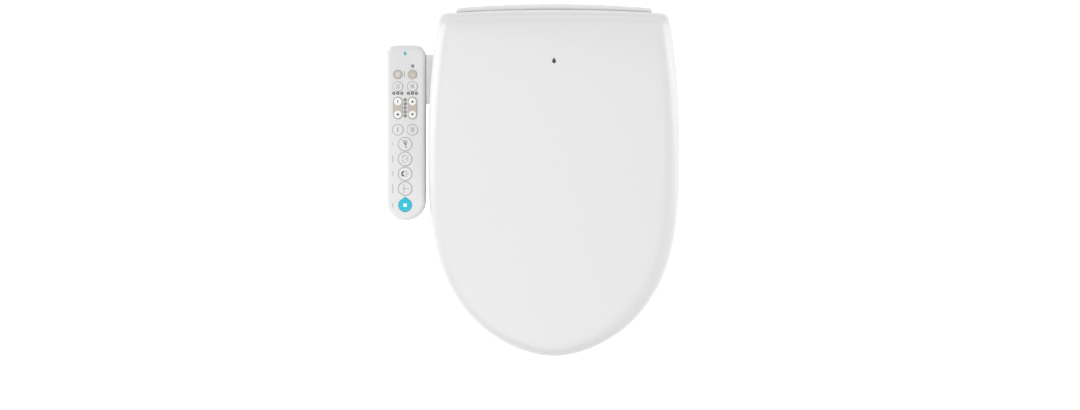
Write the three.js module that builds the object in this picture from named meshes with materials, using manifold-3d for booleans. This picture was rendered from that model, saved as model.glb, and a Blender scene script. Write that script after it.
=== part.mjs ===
// Electric bidet seat: lid, heated seat, washing and drying unit, and control arm.
// Millimetres. +X is to the sitter's left, +Y to the rear, +Z up. The origin lies on the bowl's deck,
// midway between the two fixing bolts, on the underside of the mounting plate.

import * as THREE from 'three';
import { mergeVertices } from 'three/addons/utils/BufferGeometryUtils.js';
import Module from 'manifold-3d';

const wasm = await Module();
wasm.setup();

// ---- driving dimensions ----------------------------------------------------------------------

const GAP = 0.3;
const SIDES = 20;

const LID = {
  halfWidth: 189, widestY: -158.8, frontY: -475.3, rearY: 46,
  frontPower: 3.17, sidePower: 1.776, sideTaper: 0.00043,
  cornerX: 160.5, cornerY: 28.2, cornerRadius: 13, rearArch: 5,
  frontZ: 58, crestZ: 122, edgeRadius: 14, skin: 3,
  skirtFrontZ: 24, skirtSideZ: 50, skirtLapAngle: -5, innerLapAngle: -35,
};
const HINGE = { y: 22, z: 98, eyeRadius: 13, shaftRadius: 4, boreRadius: 4.3 };
const SEAT = {
  inset: 6, rearY: -98, cornerRadius: 10, frontZ: 40, rearZ: 60, splitZ: 20, bottomZ: 7,
  holeHalfWidth: 103, holeHalfLength: 140, holeY: -260, holePower: 2.3, skin: 3, points: 48,
  earX: 149, earWidth: 7, notchHalfWidth: 92, notchZ: 33, notchY: -130,
};
const BODY = {
  halfWidth: 147, wingHalfWidth: 168, frontY: -93, wingRearY: 35, rearY: 54.5, rearArch: 6,
  bottomZ: 2, splitZ: 42, wall: 2.5, rimZ: 95, moatClearance: 2.3,
};
const PLATE = { halfWidth: 92, flange: 6, frontY: -45, rearY: 40, height: 8, boltX: 70 };
const ARM = {
  xMin: -253.5, xMax: -192.8, rearY: -6.3, frontY: -270.3, cornerRadius: 16,
  bottomZ: 20, splitZ: 40, topZ: 62, edge: 6, wall: 2.5,
  bridgeFrontY: -94.5, bridgeRearY: -20.5, bridgeTopZ: 47, upstandTopZ: 57,
};
const KEY = { x: -223.9, column: 11, proud: 0.8, depth: 7, flange: 0.6, clearance: 0.4 };
const NOZZLE = {
  tilt: THREE.MathUtils.degToRad(28), x: 11, tipY: -90, tipZ: 21, radius: 5, length: 92,
  rackStart: 24, rackLength: 64, pinionAt: 28, module: 1, teeth: 12, rackPitchHeight: 7,
};
const FAN = { x: 66, y: -52, z: 34, radius: 21, width: 28, wheelRadius: 15 };

const clamp01 = (value) => Math.min(1, Math.max(0, value));
const smooth = (value) => clamp01(value) ** 2 * (3 - 2 * clamp01(value));
const mix = (a, b, t) => a + (b - a) * t;

// ---- solids ------------------------------------------------------------------------------------

function solid(geometry) {
  const bare = geometry.clone();
  bare.deleteAttribute('normal');
  bare.deleteAttribute('uv');
  const merged = mergeVertices(bare, 1e-4);
  return new wasm.Manifold(new wasm.Mesh({
    numProp: 3,
    vertProperties: new Float32Array(merged.attributes.position.array),
    triVerts: new Uint32Array(merged.index.array),
  }));
}

const join = (first, ...rest) => rest.reduce((sum, piece) => sum.add(piece), first);

function geometryOf(body) {
  const { vertProperties, triVerts } = body.getMesh();
  const geometry = new THREE.BufferGeometry();
  geometry.setAttribute('position', new THREE.BufferAttribute(new Float32Array(vertProperties), 3));
  geometry.setIndex(new THREE.BufferAttribute(new Uint32Array(triVerts), 1));
  return geometry;
}

function box(x0, x1, y0, y1, z0, z1) {
  const geometry = new THREE.BoxGeometry(x1 - x0, y1 - y0, z1 - z0);
  return solid(geometry.translate((x0 + x1) / 2, (y0 + y1) / 2, (z0 + z1) / 2));
}

// A round bar along one axis, from one end to the other, through the point (x, y, z).
function rod(axis, from, to, radius, [x, y, z], sides = SIDES, endRadius = radius) {
  const geometry = new THREE.CylinderGeometry(endRadius, radius, to - from, sides);
  geometry.translate(0, (from + to) / 2, 0);
  if (axis === 'x') geometry.rotateZ(-Math.PI / 2);
  if (axis === 'z') geometry.rotateX(Math.PI / 2);
  return solid(geometry.translate(axis === 'x' ? 0 : x, axis === 'y' ? 0 : y, axis === 'z' ? 0 : z));
}

// A plan outline standing on z0 and reaching z1.
function prism(outline, z0, z1, bevel = 0) {
  const shape = outline instanceof THREE.Shape ? outline : new THREE.Shape(outline);
  const geometry = new THREE.ExtrudeGeometry(shape, {
    depth: z1 - z0 - bevel, bevelEnabled: bevel > 0, bevelThickness: bevel, bevelSize: bevel,
    bevelOffset: -bevel, bevelSegments: 2, curveSegments: 7,
  });
  return solid(geometry.translate(0, 0, z0));
}

// A side profile in (Y, Z), drawn out along X from x0 to x1.
function slab(profile, x0, x1) {
  const shape = profile instanceof THREE.Shape ? profile : new THREE.Shape(profile);
  const geometry = new THREE.ExtrudeGeometry(shape, { depth: x1 - x0, bevelEnabled: false, curveSegments: 10 });
  geometry.rotateX(Math.PI / 2).rotateZ(Math.PI / 2);
  return solid(geometry.translate(x0, 0, 0));
}

const points2 = (...pairs) => pairs.map(([a, b]) => new THREE.Vector2(a, b));

// Skins a stack of rings with the same number of points. Both ends close onto an apex, or, where
// there is no apex, the last ring joins the first.
function skinRings(rings, apexes = null) {
  const count = rings[0].length;
  const corners = rings.flat();
  const index = [];
  const bands = apexes ? rings.length - 1 : rings.length;
  for (let ring = 0; ring < bands; ring += 1) {
    const upper = (ring + 1) % rings.length;
    for (let k = 0; k < count; k += 1) {
      const next = (k + 1) % count;
      const [a, b] = [ring * count + k, ring * count + next];
      const [c, d] = [upper * count + next, upper * count + k];
      index.push(a, b, c, a, c, d);
    }
  }
  if (apexes) {
    const last = (rings.length - 1) * count;
    const bottom = corners.push(apexes[0]) - 1;
    const top = corners.push(apexes[1]) - 1;
    for (let k = 0; k < count; k += 1) {
      const next = (k + 1) % count;
      index.push(bottom, next, k, top, last + k, last + next);
    }
  }
  const geometry = new THREE.BufferGeometry().setFromPoints(corners);
  geometry.setIndex(index);
  return solid(geometry);
}

// ---- lid ---------------------------------------------------------------------------------------

const barrelRadiusAt = (x) => LID.crestZ - HINGE.z - LID.rearArch * (x / LID.cornerX) ** 2;
const sideAt = (y) => LID.halfWidth - LID.sideTaper * (y - LID.widestY) ** 2;

// The front half of the plan is a superellipse with its own power in each direction.
function frontCurve(steps) {
  const curve = [];
  for (let k = 0; k <= steps; k += 1) {
    const angle = (k / steps) * (Math.PI / 2);
    const x = LID.halfWidth * Math.cos(angle) ** (2 / LID.sidePower);
    const y = LID.widestY + (LID.frontY - LID.widestY) * Math.sin(angle) ** (2 / LID.frontPower);
    curve.push(new THREE.Vector2(k === steps ? 0 : x, y));
  }
  return curve;
}

// Mirrors the right half of an outline, which runs from the rear middle to the front middle.
function mirrored(half) {
  const left = half.slice(1, -1).reverse().map((point) => new THREE.Vector2(-point.x, point.y));
  return [...half, ...left].reverse();
}

function lidOutline() {
  const half = [];
  for (const x of [0, 45, 90, 130, 150]) {
    half.push(new THREE.Vector2(x, LID.rearY - LID.rearArch * (x / LID.cornerX) ** 2));
  }
  for (const degrees of [80, 55, 30, 5]) {
    const angle = THREE.MathUtils.degToRad(degrees);
    half.push(new THREE.Vector2(LID.cornerX + LID.cornerRadius * Math.cos(angle),
      LID.cornerY + LID.cornerRadius * Math.sin(angle)));
  }
  for (const y of [10, -30, -75, -115]) half.push(new THREE.Vector2(sideAt(y), y));
  return mirrored([...half, ...frontCurve(12)]);
}

function lidTopAt(x, y) {
  const along = clamp01((y - LID.frontY) / (HINGE.y - LID.frontY)) ** 1.25;
  const rise = 0.35 * along + 0.65 * smooth(along);
  return mix(LID.frontZ, LID.crestZ, rise) - LID.rearArch * (x / LID.cornerX) ** 2;
}

function skirtAt(y) {
  const alongSide = mix(LID.skirtFrontZ, LID.skirtSideZ, smooth((y + 400) / 290));
  return alongSide + 40 * smooth(y / 40);
}

function shrunk(point, sideInset, rearInset, frontInset) {
  const reach = point.y > LID.widestY ? LID.rearY - LID.widestY : LID.widestY - LID.frontY;
  const inset = point.y > LID.widestY ? rearInset : frontInset;
  return new THREE.Vector2(
    point.x * (1 - sideInset / LID.halfWidth),
    LID.widestY + (point.y - LID.widestY) * (1 - inset / reach),
  );
}

// One face of the lid, `depth` below its outer face. Below the hinge the rear follows the barrel and
// the sides drop straight to the skirt's edge, `drop` lower.
function lidBody(depth, lapAngle, drop) {
  const outline = lidOutline();
  const rearness = (point) => clamp01((point.y - LID.cornerY) / LID.cornerRadius);
  const ringAt = (degrees) => outline.map((point) => {
    const angle = THREE.MathUtils.degToRad(degrees);
    const barrel = barrelRadiusAt(point.x) - depth;
    const edge = LID.edgeRadius - depth;
    const sideAngle = Math.max(angle, 0);
    const side = depth + edge * (1 - Math.cos(sideAngle));
    const place = shrunk(point, side, depth + barrel * (1 - Math.cos(angle)), side);
    const radius = mix(edge, barrel, rearness(point));
    const top = lidTopAt(place.x, place.y) - depth;
    const rim = top - radius * (1 - Math.sin(angle));
    const skirt = mix(skirtAt(point.y) - drop, rim, rearness(point));
    return new THREE.Vector3(place.x, place.y, degrees < 0 ? skirt : rim);
  });
  const rings = [lapAngle, 0, 30, 60, 90].map(ringAt);
  const brow = rings[rings.length - 1];
  const middle = new THREE.Vector3(0, LID.widestY - 40, 0);
  for (const size of [0.8, 0.5, 0.2]) {
    rings.push(brow.map((point) => {
      const inner = middle.clone().lerp(point, size);
      return inner.setZ(lidTopAt(inner.x, inner.y) - depth);
    }));
  }
  const below = new THREE.Vector3(0, middle.y, LID.skirtFrontZ - drop);
  const above = new THREE.Vector3(0, middle.y, lidTopAt(0, middle.y) - depth);
  return skinRings(rings, [below, above]);
}

function lidShell() {
  const ears = [-1, 1].map((side) => {
    const [near, far] = [SEAT.earX + SEAT.earWidth + 2, SEAT.earX + 2 * SEAT.earWidth + 2];
    const [x0, x1] = side < 0 ? [-far, -near] : [near, far];
    return rod('x', x0, x1, HINGE.eyeRadius + 2.5, [0, HINGE.y, HINGE.z]);
  });
  const bore = rod('x', -180, 180, HINGE.boreRadius, [0, HINGE.y, HINGE.z], 12);
  const reach = SEAT.earX + 2 * SEAT.earWidth + 2;
  const bored = join(...ears).subtract(bore.intersect(box(-reach - 1, reach + 1, 0, 50, 80, 120)));
  return lidBody(0, LID.skirtLapAngle, 0).subtract(lidBody(LID.skin, LID.innerLapAngle, 14)).add(bored);
}

function lidBuffer(side) {
  const [x, y] = [side * 128, -300];
  const top = lidTopAt(x, y) - LID.skin - 1.2;
  return rod('z', seatTopAt(y) + GAP, top, 7, [x, y, 0], 14);
}

// ---- seat --------------------------------------------------------------------------------------

const seatTopAt = (y) => mix(SEAT.frontZ, SEAT.rearZ, smooth((y - LID.frontY) / (SEAT.rearY - LID.frontY)));

function seatOutline() {
  const side = (y) => sideAt(y) - SEAT.inset;
  const cornerX = side(SEAT.rearY) - SEAT.cornerRadius;
  const cornerY = SEAT.rearY - SEAT.cornerRadius;
  const half = points2([0, SEAT.rearY]);
  for (const degrees of [90, 60, 30, 0]) {
    const angle = THREE.MathUtils.degToRad(degrees);
    half.push(new THREE.Vector2(cornerX + SEAT.cornerRadius * Math.cos(angle),
      cornerY + SEAT.cornerRadius * Math.sin(angle)));
  }
  const front = frontCurve(24).map((point) => shrunk(point, SEAT.inset, 0, SEAT.inset));
  return mirrored([...half, ...front]);
}

// How far the outline lies from the hole's centre in the direction of an angle.
function reachAt(outline, angle) {
  const direction = new THREE.Vector2(Math.cos(angle), Math.sin(angle));
  for (let k = 0; k < outline.length; k += 1) {
    const a = outline[k].clone().sub(new THREE.Vector2(0, SEAT.holeY));
    const b = outline[(k + 1) % outline.length].clone().sub(new THREE.Vector2(0, SEAT.holeY));
    const [sideA, sideB] = [direction.cross(a), direction.cross(b)];
    const hit = a.clone().lerp(b, sideA / (sideA - sideB));
    if (sideA * sideB <= 0 && sideA !== sideB && hit.dot(direction) > 0) return hit.length();
  }
  return 0;
}

function holeReachAt(angle) {
  const across = Math.abs(Math.cos(angle)) / SEAT.holeHalfWidth;
  const along = Math.abs(Math.sin(angle)) / SEAT.holeHalfLength;
  return (across ** SEAT.holePower + along ** SEAT.holePower) ** (-1 / SEAT.holePower);
}

// A body that runs round the seat's hole. Each row of its section is [edge, distance, height]: how far
// in from the outer edge or out from the hole's edge, and the height as a function of Y.
function seatRing(section) {
  const outline = seatOutline();
  const rays = [];
  for (let k = 0; k < SEAT.points; k += 1) {
    const angle = (k / SEAT.points) * 2 * Math.PI;
    rays.push({ angle, outer: reachAt(outline, angle), hole: holeReachAt(angle) });
  }
  const rings = section.map(([edge, distance, heightAt]) => rays.map(({ angle, outer, hole }) => {
    const places = { outer: outer - distance, hole: hole + distance, middle: (outer + hole) / 2 };
    const x = places[edge] * Math.cos(angle);
    const y = SEAT.holeY + places[edge] * Math.sin(angle);
    return new THREE.Vector3(x, y, heightAt(y));
  }));
  return skinRings(rings);
}

const below = (drop) => (y) => seatTopAt(y) - drop;
const level = (z) => () => z;
const seatNotch = () => box(-SEAT.notchHalfWidth, SEAT.notchHalfWidth, SEAT.notchY, -90, 0, SEAT.notchZ);

function seatEar(side) {
  const shape = new THREE.Shape();
  shape.absarc(HINGE.y, HINGE.z, HINGE.eyeRadius, -2, 1.9, false);
  shape.lineTo(-126, 58);
  shape.lineTo(-126, 46);
  shape.lineTo(SEAT.rearY, 44.5);
  const [near, far] = [SEAT.earX, SEAT.earX + SEAT.earWidth];
  const ear = slab(shape, side < 0 ? -far : near, side < 0 ? -near : far);
  return ear.subtract(rod('x', -180, 180, HINGE.boreRadius, [0, HINGE.y, HINGE.z], 12));
}

function seatTop() {
  const skin = SEAT.skin;
  const shell = seatRing([
    ['outer', 0, level(SEAT.splitZ)], ['outer', 0, below(9)], ['outer', 2.5, below(3)], ['outer', 8, below(0)],
    ['middle', 0, below(1)],
    ['hole', 9, below(3.5)], ['hole', 2.5, below(8)], ['hole', 0, below(14)], ['hole', 0, level(SEAT.splitZ)],
    ['hole', skin, level(SEAT.splitZ)], ['hole', skin, below(15)], ['hole', 9, below(7)],
    ['middle', 0, below(4.5)],
    ['outer', 8, below(3.5)], ['outer', skin, below(9)], ['outer', skin, level(SEAT.splitZ)],
  ]);
  return join(shell, seatEar(-1), seatEar(1)).subtract(seatNotch());
}

function seatBase() {
  const [skin, floor, rim] = [SEAT.skin, SEAT.bottomZ, SEAT.splitZ - GAP];
  return seatRing([
    ['outer', 0, level(floor)], ['outer', 0, level(rim)],
    ['outer', skin, level(rim)], ['outer', skin, level(floor + skin)],
    ['hole', skin, level(floor + skin)], ['hole', skin, level(rim)],
    ['hole', 0, level(rim)], ['hole', 0, level(floor)],
  ]).subtract(seatNotch());
}

function seatHeater() {
  const sheet = seatRing([
    ['outer', 12, below(5.6)], ['outer', 12, below(4.8)], ['middle', 0, below(4.8)], ['middle', 0, below(5.6)],
  ]);
  return sheet.subtract(box(-190, 190, SEAT.notchY - 12, -90, 0, 90));
}

const seatBuffer = (x, y) => rod('z', 0, SEAT.bottomZ - GAP, 9, [x, y, 0], 14);

// ---- housing -----------------------------------------------------------------------------------

// Plan of the housing: straight front and sides, arched rear edge.
function housingPlan(halfWidth, frontY, inset) {
  const half = [];
  for (const share of [0, 0.35, 0.7, 1]) {
    const x = share * (halfWidth - inset);
    half.push(new THREE.Vector2(x, BODY.rearY - BODY.rearArch * (x / BODY.halfWidth) ** 2 - inset));
  }
  half.push(new THREE.Vector2(halfWidth - inset, frontY + inset), new THREE.Vector2(0, frontY + inset));
  return mirrored(half);
}

// Room for the lid's rear skin to turn in: a barrel about the hinge, wider at the middle.
function moat(extra = 0) {
  const profile = points2([0, -150]);
  for (const x of [-150, -105, -55, 0, 55, 105, 150]) {
    profile.push(new THREE.Vector2(barrelRadiusAt(x) + BODY.moatClearance + extra, x));
  }
  profile.push(new THREE.Vector2(0, 150));
  const geometry = new THREE.LatheGeometry(profile, 28);
  geometry.rotateZ(-Math.PI / 2);
  return solid(geometry.translate(0, HINGE.y, HINGE.z));
}

function hingeBarrel() {
  const shape = new THREE.Shape();
  shape.absarc(HINGE.y, HINGE.z, HINGE.eyeRadius, -Math.PI / 2, 1.75, false);
  shape.lineTo(-14, 99);
  shape.lineTo(-14, HINGE.z - HINGE.eyeRadius);
  return slab(shape, -BODY.halfWidth, BODY.halfWidth);
}

function topCover() {
  const { frontY, rearY, splitZ, wall, halfWidth, rimZ } = BODY;
  const bottom = splitZ + GAP;
  const outer = slab(points2([frontY, bottom], [rearY, bottom], [rearY, rimZ], [30, 104], [-10, 100],
    [-68, 88], [-80, 83], [-89, 74], [frontY, 62]), -halfWidth, halfWidth)
    .intersect(prism(housingPlan(halfWidth, frontY, 0), bottom, 120));
  const cavity = slab(points2([frontY, bottom - 5], [rearY, bottom - 5], [rearY, 66], [-2, 66],
    [-12, 78], [-17, 95.5], [-67, 85], [-78, 80.5], [-86.5, 72.5], [-90, 62]), -halfWidth, halfWidth)
    .intersect(prism(housingPlan(halfWidth, frontY, wall), bottom - 10, 120));
  const damperBore = rod('x', -180, 180, 9 + GAP, [0, HINGE.y, HINGE.z]);
  const middle = box(-96, 96, 0, 50, 80, 120);
  return outer.subtract(moat()).add(hingeBarrel()).subtract(cavity).subtract(damperBore.subtract(middle));
}

function plateRecess() {
  const [wide, narrow] = [PLATE.halfWidth + PLATE.flange + 0.8, PLATE.halfWidth + 0.8];
  const reach = [PLATE.frontY - 3, BODY.rearY + 1];
  return box(-narrow, narrow, ...reach, 0, PLATE.height + 0.6)
    .add(box(-wide, wide, ...reach, 3.7, PLATE.height + 0.6));
}

// Joins the housing to the control arm, with a way through for its wires.
function armBridge() {
  const { frontY, wingHalfWidth, wall } = BODY;
  const { bridgeFrontY, bridgeRearY, bridgeTopZ, upstandTopZ } = ARM;
  const side = ARM.xMax + GAP;
  const deck = box(side, -wingHalfWidth + 1, bridgeFrontY, bridgeRearY, 14, bridgeTopZ);
  const upstand = box(side, side + 2.9, bridgeFrontY, bridgeRearY, bridgeTopZ - 1, upstandTopZ);
  const room = box(-188, -wingHalfWidth - wall, frontY + wall, bridgeRearY - wall, 14 + wall, bridgeTopZ - wall);
  const wireWay = box(-200, -wingHalfWidth + 10, -70, -55, 24, 34);
  return deck.add(upstand).subtract(room).subtract(wireWay);
}

function baseCase() {
  const { frontY, wingRearY, bottomZ, splitZ, wall, halfWidth, wingHalfWidth, rearY } = BODY;
  const wings = box(-wingHalfWidth, wingHalfWidth, frontY, wingRearY, bottomZ, splitZ);
  const outer = wings.add(prism(housingPlan(halfWidth, frontY, 0), bottomZ, splitZ));
  const floor = bottomZ + wall;
  const wingRoom = box(-wingHalfWidth + wall, wingHalfWidth - wall, frontY + wall, wingRearY - wall,
    floor, splitZ - wall);
  const room = prism(housingPlan(halfWidth, frontY, wall), floor, splitZ + 5).add(wingRoom);
  const lip = PLATE.halfWidth + PLATE.flange + 0.8 + wall;
  const raisedFloor = box(-lip, lip, PLATE.frontY - 3 - wall, rearY, bottomZ, PLATE.height + 3)
    .intersect(prism(housingPlan(halfWidth, frontY, 0), 0, splitZ));
  const bridge = armBridge();
  const openings = [
    box(-20, 20, frontY - 1, frontY + wall + 1, 8, 33),
    box(FAN.x - 14, FAN.x + 14, frontY - 1, frontY + wall + 1, 12, 30),
    box(wingHalfWidth - 5, wingHalfWidth + 1, -62, -28, 8.5, 37.5),
    box(wingHalfWidth - 5, wingHalfWidth + 1, 13.5, 28.5, 13.5, 28.5),
    rod('z', 0, 6, 7 + GAP, [-152, -5, 0]),
    rod('z', 0, 6, 7 + GAP, [152, 8, 0]),
    rod('x', -170, -160, 6 + GAP, [0, 18, 22]),
  ];
  const shell = outer.subtract(room).add(raisedFloor).subtract(plateRecess());
  return openings.reduce((rest, opening) => rest.subtract(opening), shell.add(bridge));
}

const damper = (side) => rod('x', side < 0 ? -144 : 97, side < 0 ? -97 : 144, 9, [0, HINGE.y, HINGE.z]);

function damperShaft(side) {
  const [near, far] = [144 + GAP, SEAT.earX + 2 * SEAT.earWidth + 1];
  const [x0, x1] = side < 0 ? [-far, -near] : [near, far];
  return rod('x', x0, x1, HINGE.shaftRadius, [0, HINGE.y, HINGE.z], 12);
}

// A hollow union that hangs under the case: stem, collar and open end.
function spout(x, y, length, endRadius, boreRadius) {
  return rod('z', 0.5, 7.5, 7, [x, y, 0])
    .add(rod('z', -4, 1.7, 10, [x, y, 0], 6))
    .add(rod('z', -length, -3.5, endRadius, [x, y, 0]))
    .subtract(rod('z', -length - 1, 9, boreRadius, [x, y, 0], 12));
}

function drainPlug() {
  const [x, y, z] = [-BODY.wingHalfWidth, 18, 22];
  return rod('x', x - 2.6, x - GAP, 9, [0, y, z])
    .add(rod('x', x - 1, x + 9, 6, [0, y, z]))
    .subtract(box(x - 4, x - 1.4, y - 7, y + 7, z - 1, z + 1));
}

function releaseButton() {
  const x = BODY.wingHalfWidth;
  return box(x - 11, x + 2.5, 14, 28, 14, 28).add(box(x - 13, x - 10, 12.5, 29.5, 12.5, 29.5));
}

// ---- fixing ------------------------------------------------------------------------------------

function mountingPlate() {
  const { halfWidth, flange, frontY, rearY, height, boltX } = PLATE;
  const web = box(-halfWidth, halfWidth, frontY, rearY, 0, height);
  const wings = box(-halfWidth - flange, halfWidth + flange, frontY, rearY, 4.3, height);
  const slots = [-1, 1].map((side) => {
    const [x0, x1] = [side * boltX - 13, side * boltX + 13];
    return box(x0, x1, -4.6, 4.6, -1, 9).add(box(x0 - 5, x1 + 5, -10, 10, 4, 9));
  });
  const lightening = box(-34, 34, -28, 24, 3, 9);
  return web.add(wings).subtract(join(...slots)).subtract(lightening);
}

function bolt(side) {
  const place = [side * PLATE.boltX, 0, 0];
  return rod('z', -62, 5, 3.9, place, 14).add(rod('z', 4 + GAP, 7.4, 8.5, place, 14));
}

function rubberCone(side) {
  const place = [side * PLATE.boltX, 0, 0];
  return rod('z', -36, -18, 9, place, 16, 13).subtract(rod('z', -40, -10, 3.9 + GAP, place, 14));
}

function wingNut(side) {
  const x = side * PLATE.boltX;
  const wings = box(x - 19, x + 19, -1.8, 1.8, -54, -42);
  return rod('z', -50, -36 - GAP, 9, [x, 0, 0], 16, 11).add(wings)
    .subtract(rod('z', -60, -30, 3.9 + GAP, [x, 0, 0], 14));
}

// ---- control arm -------------------------------------------------------------------------------

// Plan of the arm: rounded rear corners and a half-round front end.
function armPlan(inset) {
  const [left, right] = [ARM.xMin + inset, ARM.xMax - inset];
  const end = (right - left) / 2;
  const corner = ARM.cornerRadius - inset;
  const [rear, front] = [ARM.rearY - inset, ARM.frontY + inset];
  const shape = new THREE.Shape();
  shape.moveTo(left, front + end);
  shape.absarc((left + right) / 2, front + end, end, Math.PI, 2 * Math.PI, false);
  shape.absarc(right - corner, rear - corner, corner, 0, Math.PI / 2, false);
  shape.absarc(left + corner, rear - corner, corner, Math.PI / 2, Math.PI, false);
  return shape;
}

// Every key: name, place on the arm and radius. The rockers are as long as three of their radii.
const KEYS = [
  ...[-1, 1].map((side) => ({ name: ['lid', 'seat'][(side + 1) / 2] + '_heat_key', side, y: -50.6, radius: 6.7 })),
  ...[-1, 1].map((side) => ({ name: ['water', 'air'][(side + 1) / 2] + '_heat_key', side, y: -68.6, radius: 7.5 })),
  ...[-1, 1].map((side) => ({ name: ['nozzle', 'pressure'][(side + 1) / 2] + '_rocker', side, y: -101,
    radius: 6.7, length: 33.4 })),
  ...[-1, 1].map((side) => ({ name: ['massage', 'clean'][(side + 1) / 2] + '_key', side, y: -133.7, radius: 8.2 })),
  ...['dryer', 'front_wash', 'rear_wash', 'auto'].map((name, k) => ({ name: name + '_key', side: 0,
    y: -155.4 - 22.3 * k, radius: 10.4 })),
  { name: 'stop_key', side: 0, y: -247.2, radius: 10, tip: 12.6 },
];

// Outline of a key's cap: round, long and round-ended, or a drop with its point to the rear.
function keyPlan(key, grow) {
  const [x, radius] = [KEY.x + KEY.column * key.side, key.radius + grow];
  const shape = new THREE.Shape();
  if (key.length) {
    const half = key.length / 2 - key.radius;
    shape.absarc(x, key.y - half, radius, Math.PI, 2 * Math.PI, false);
    shape.absarc(x, key.y + half, radius, 0, Math.PI, false);
    return shape;
  }
  if (key.tip) {
    shape.absarc(x, key.y, radius, THREE.MathUtils.degToRad(-220), THREE.MathUtils.degToRad(40), false);
    shape.lineTo(x, key.y + key.tip + grow);
    return shape;
  }
  return shape.absarc(x, key.y, radius, 0, 2 * Math.PI, false);
}

function keyCap(key) {
  const top = ARM.topZ + KEY.proud;
  const cap = prism(keyPlan(key, 0), ARM.topZ - KEY.depth, top);
  return cap.add(prism(keyPlan(key, KEY.flange), ARM.topZ - KEY.depth, ARM.topZ - KEY.depth + 1.5));
}

// Indicator lights: one by the tan keys, three over each rocker, five between the rockers.
const LIGHTS = [
  [11.3, -37.8],
  ...[-1, 1].flatMap((side) => [-6, 0, 6].map((step) => [side * 11 + step, -78.9])),
  ...[0, 1, 2, 3, 4].map((k) => [0, -88.8 - 6 * k]),
];

function lightGuide() {
  const { x } = KEY;
  const [low, high] = [49.5, 51.5];
  const rails = [
    box(x - 18, x + 18, -80.3, -77.5, low, high),
    box(x - 1.4, x + 1.4, -114, -36.4, low, high),
    box(x - 1.4, x + 12.7, -39.2, -36.4, low, high),
  ];
  const pins = LIGHTS.map(([dx, y]) => rod('z', 50, ARM.topZ + 0.1, 1.1, [x + dx, y, 0], 6));
  return join(...rails, ...pins);
}

function armTopCase() {
  const { splitZ, topZ, edge, wall } = ARM;
  const outer = prism(armPlan(0), splitZ - 2 * edge, topZ, edge)
    .intersect(box(-300, -150, -300, 10, splitZ, topZ + 1));
  const cavity = prism(armPlan(wall), splitZ - 1, topZ - wall);
  const holes = KEYS.map((key) => prism(keyPlan(key, KEY.clearance), topZ - 10, topZ + 1));
  const lights = LIGHTS.map(([dx, y]) => rod('z', topZ - 10, topZ + 1, 1.5, [KEY.x + dx, y, 0], 6));
  return outer.subtract(cavity).subtract(join(...holes, ...lights));
}

function armBottomCase() {
  const { bottomZ, splitZ, wall } = ARM;
  return prism(armPlan(0), bottomZ, splitZ - GAP)
    .subtract(prism(armPlan(wall), bottomZ + wall, splitZ + 1))
    .subtract(box(ARM.xMax - 5, ARM.xMax + 5, -70, -55, 24, 34));
}

const controlBoard = () => prism(armPlan(4), 44.4, 46);

// ---- washing -----------------------------------------------------------------------------------

// Puts a piece drawn along +Y, with its front end at the origin, onto a nozzle's sloping axis.
function sloped(piece, x = 0) {
  return solid(geometryOf(piece).rotateX(NOZZLE.tilt).translate(x, NOZZLE.tipY, NOZZLE.tipZ));
}

// Half width of a tooth at a height above the pitch line, thin enough to leave play in the mesh.
const toothHalf = (height) => NOZZLE.module * (0.62 - 0.36 * height);

function nozzle(side, sprayHoles) {
  const { radius, length, rackStart, rackLength, module, rackPitchHeight } = NOZZLE;
  const root = rackPitchHeight - 1.1 * module;
  const pitch = Math.PI * module;
  const profile = points2([rackStart, radius - 1.5], [rackStart + rackLength, radius - 1.5],
    [rackStart + rackLength, root]);
  for (let at = rackStart + rackLength - pitch / 2; at > rackStart + 1; at -= pitch) {
    profile.push(...points2([at + toothHalf(-1.1), root], [at + toothHalf(0.9), rackPitchHeight + 0.9],
      [at - toothHalf(0.9), rackPitchHeight + 0.9], [at - toothHalf(-1.1), root]));
  }
  profile.push(...points2([rackStart, root]));
  const tube = rod('y', 0, length, radius, [0, 0, 0]);
  const holes = sprayHoles.map(([x, y]) => rod('z', 1, radius + 2, 0.7, [x, y, 0], 6));
  return sloped(tube.add(slab(profile, -2.4, 2.4)).subtract(join(...holes)), side * NOZZLE.x);
}

const pinionCentre = () => new THREE.Vector2(NOZZLE.pinionAt,
  NOZZLE.rackPitchHeight + NOZZLE.module * NOZZLE.teeth / 2);

function pinion(side) {
  const { teeth, module } = NOZZLE;
  const pitchRadius = module * teeth / 2;
  const profile = [];
  for (let tooth = 0; tooth < teeth; tooth += 1) {
    // A tooth gap faces the rack's nearest tooth when the nozzle is home.
    const middle = -Math.PI / 2 + pinionPhase() + (tooth / teeth) * 2 * Math.PI;
    for (const [height, sign] of [[-1.1, -1], [0.8, -1], [0.8, 1], [-1.1, 1]]) {
      const radius = pitchRadius + height * module;
      const angle = middle + sign * toothHalf(height) / radius;
      profile.push(new THREE.Vector2(radius * Math.cos(angle), radius * Math.sin(angle)));
    }
  }
  const centre = pinionCentre();
  profile.forEach((point) => point.add(centre));
  const stub = side < 0 ? rod('x', -5.6, 0, 1.5, [0, centre.x, centre.y], 10)
    : rod('x', 0, 5.6, 1.5, [0, centre.x, centre.y], 10);
  return sloped(slab(profile, -2, 2).add(stub), side * NOZZLE.x);
}

// Angle from straight down at which a pinion tooth sits midway between two rack teeth.
function pinionPhase() {
  const { rackStart, rackLength, module, teeth, pinionAt } = NOZZLE;
  const pitch = Math.PI * module;
  const firstTooth = rackStart + rackLength - pitch / 2;
  const past = ((pinionAt - firstTooth) % pitch + pitch) % pitch;
  return (pitch / 2 - past) / (module * teeth / 2);
}

function nozzleMotor(side) {
  const centre = pinionCentre();
  const [x0, x1] = side < 0 ? [-24, -5.9] : [5.9, 24];
  const drum = rod('x', x0, x1, 9, [0, centre.x, centre.y]);
  return sloped(drum, side * NOZZLE.x);
}

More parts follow.
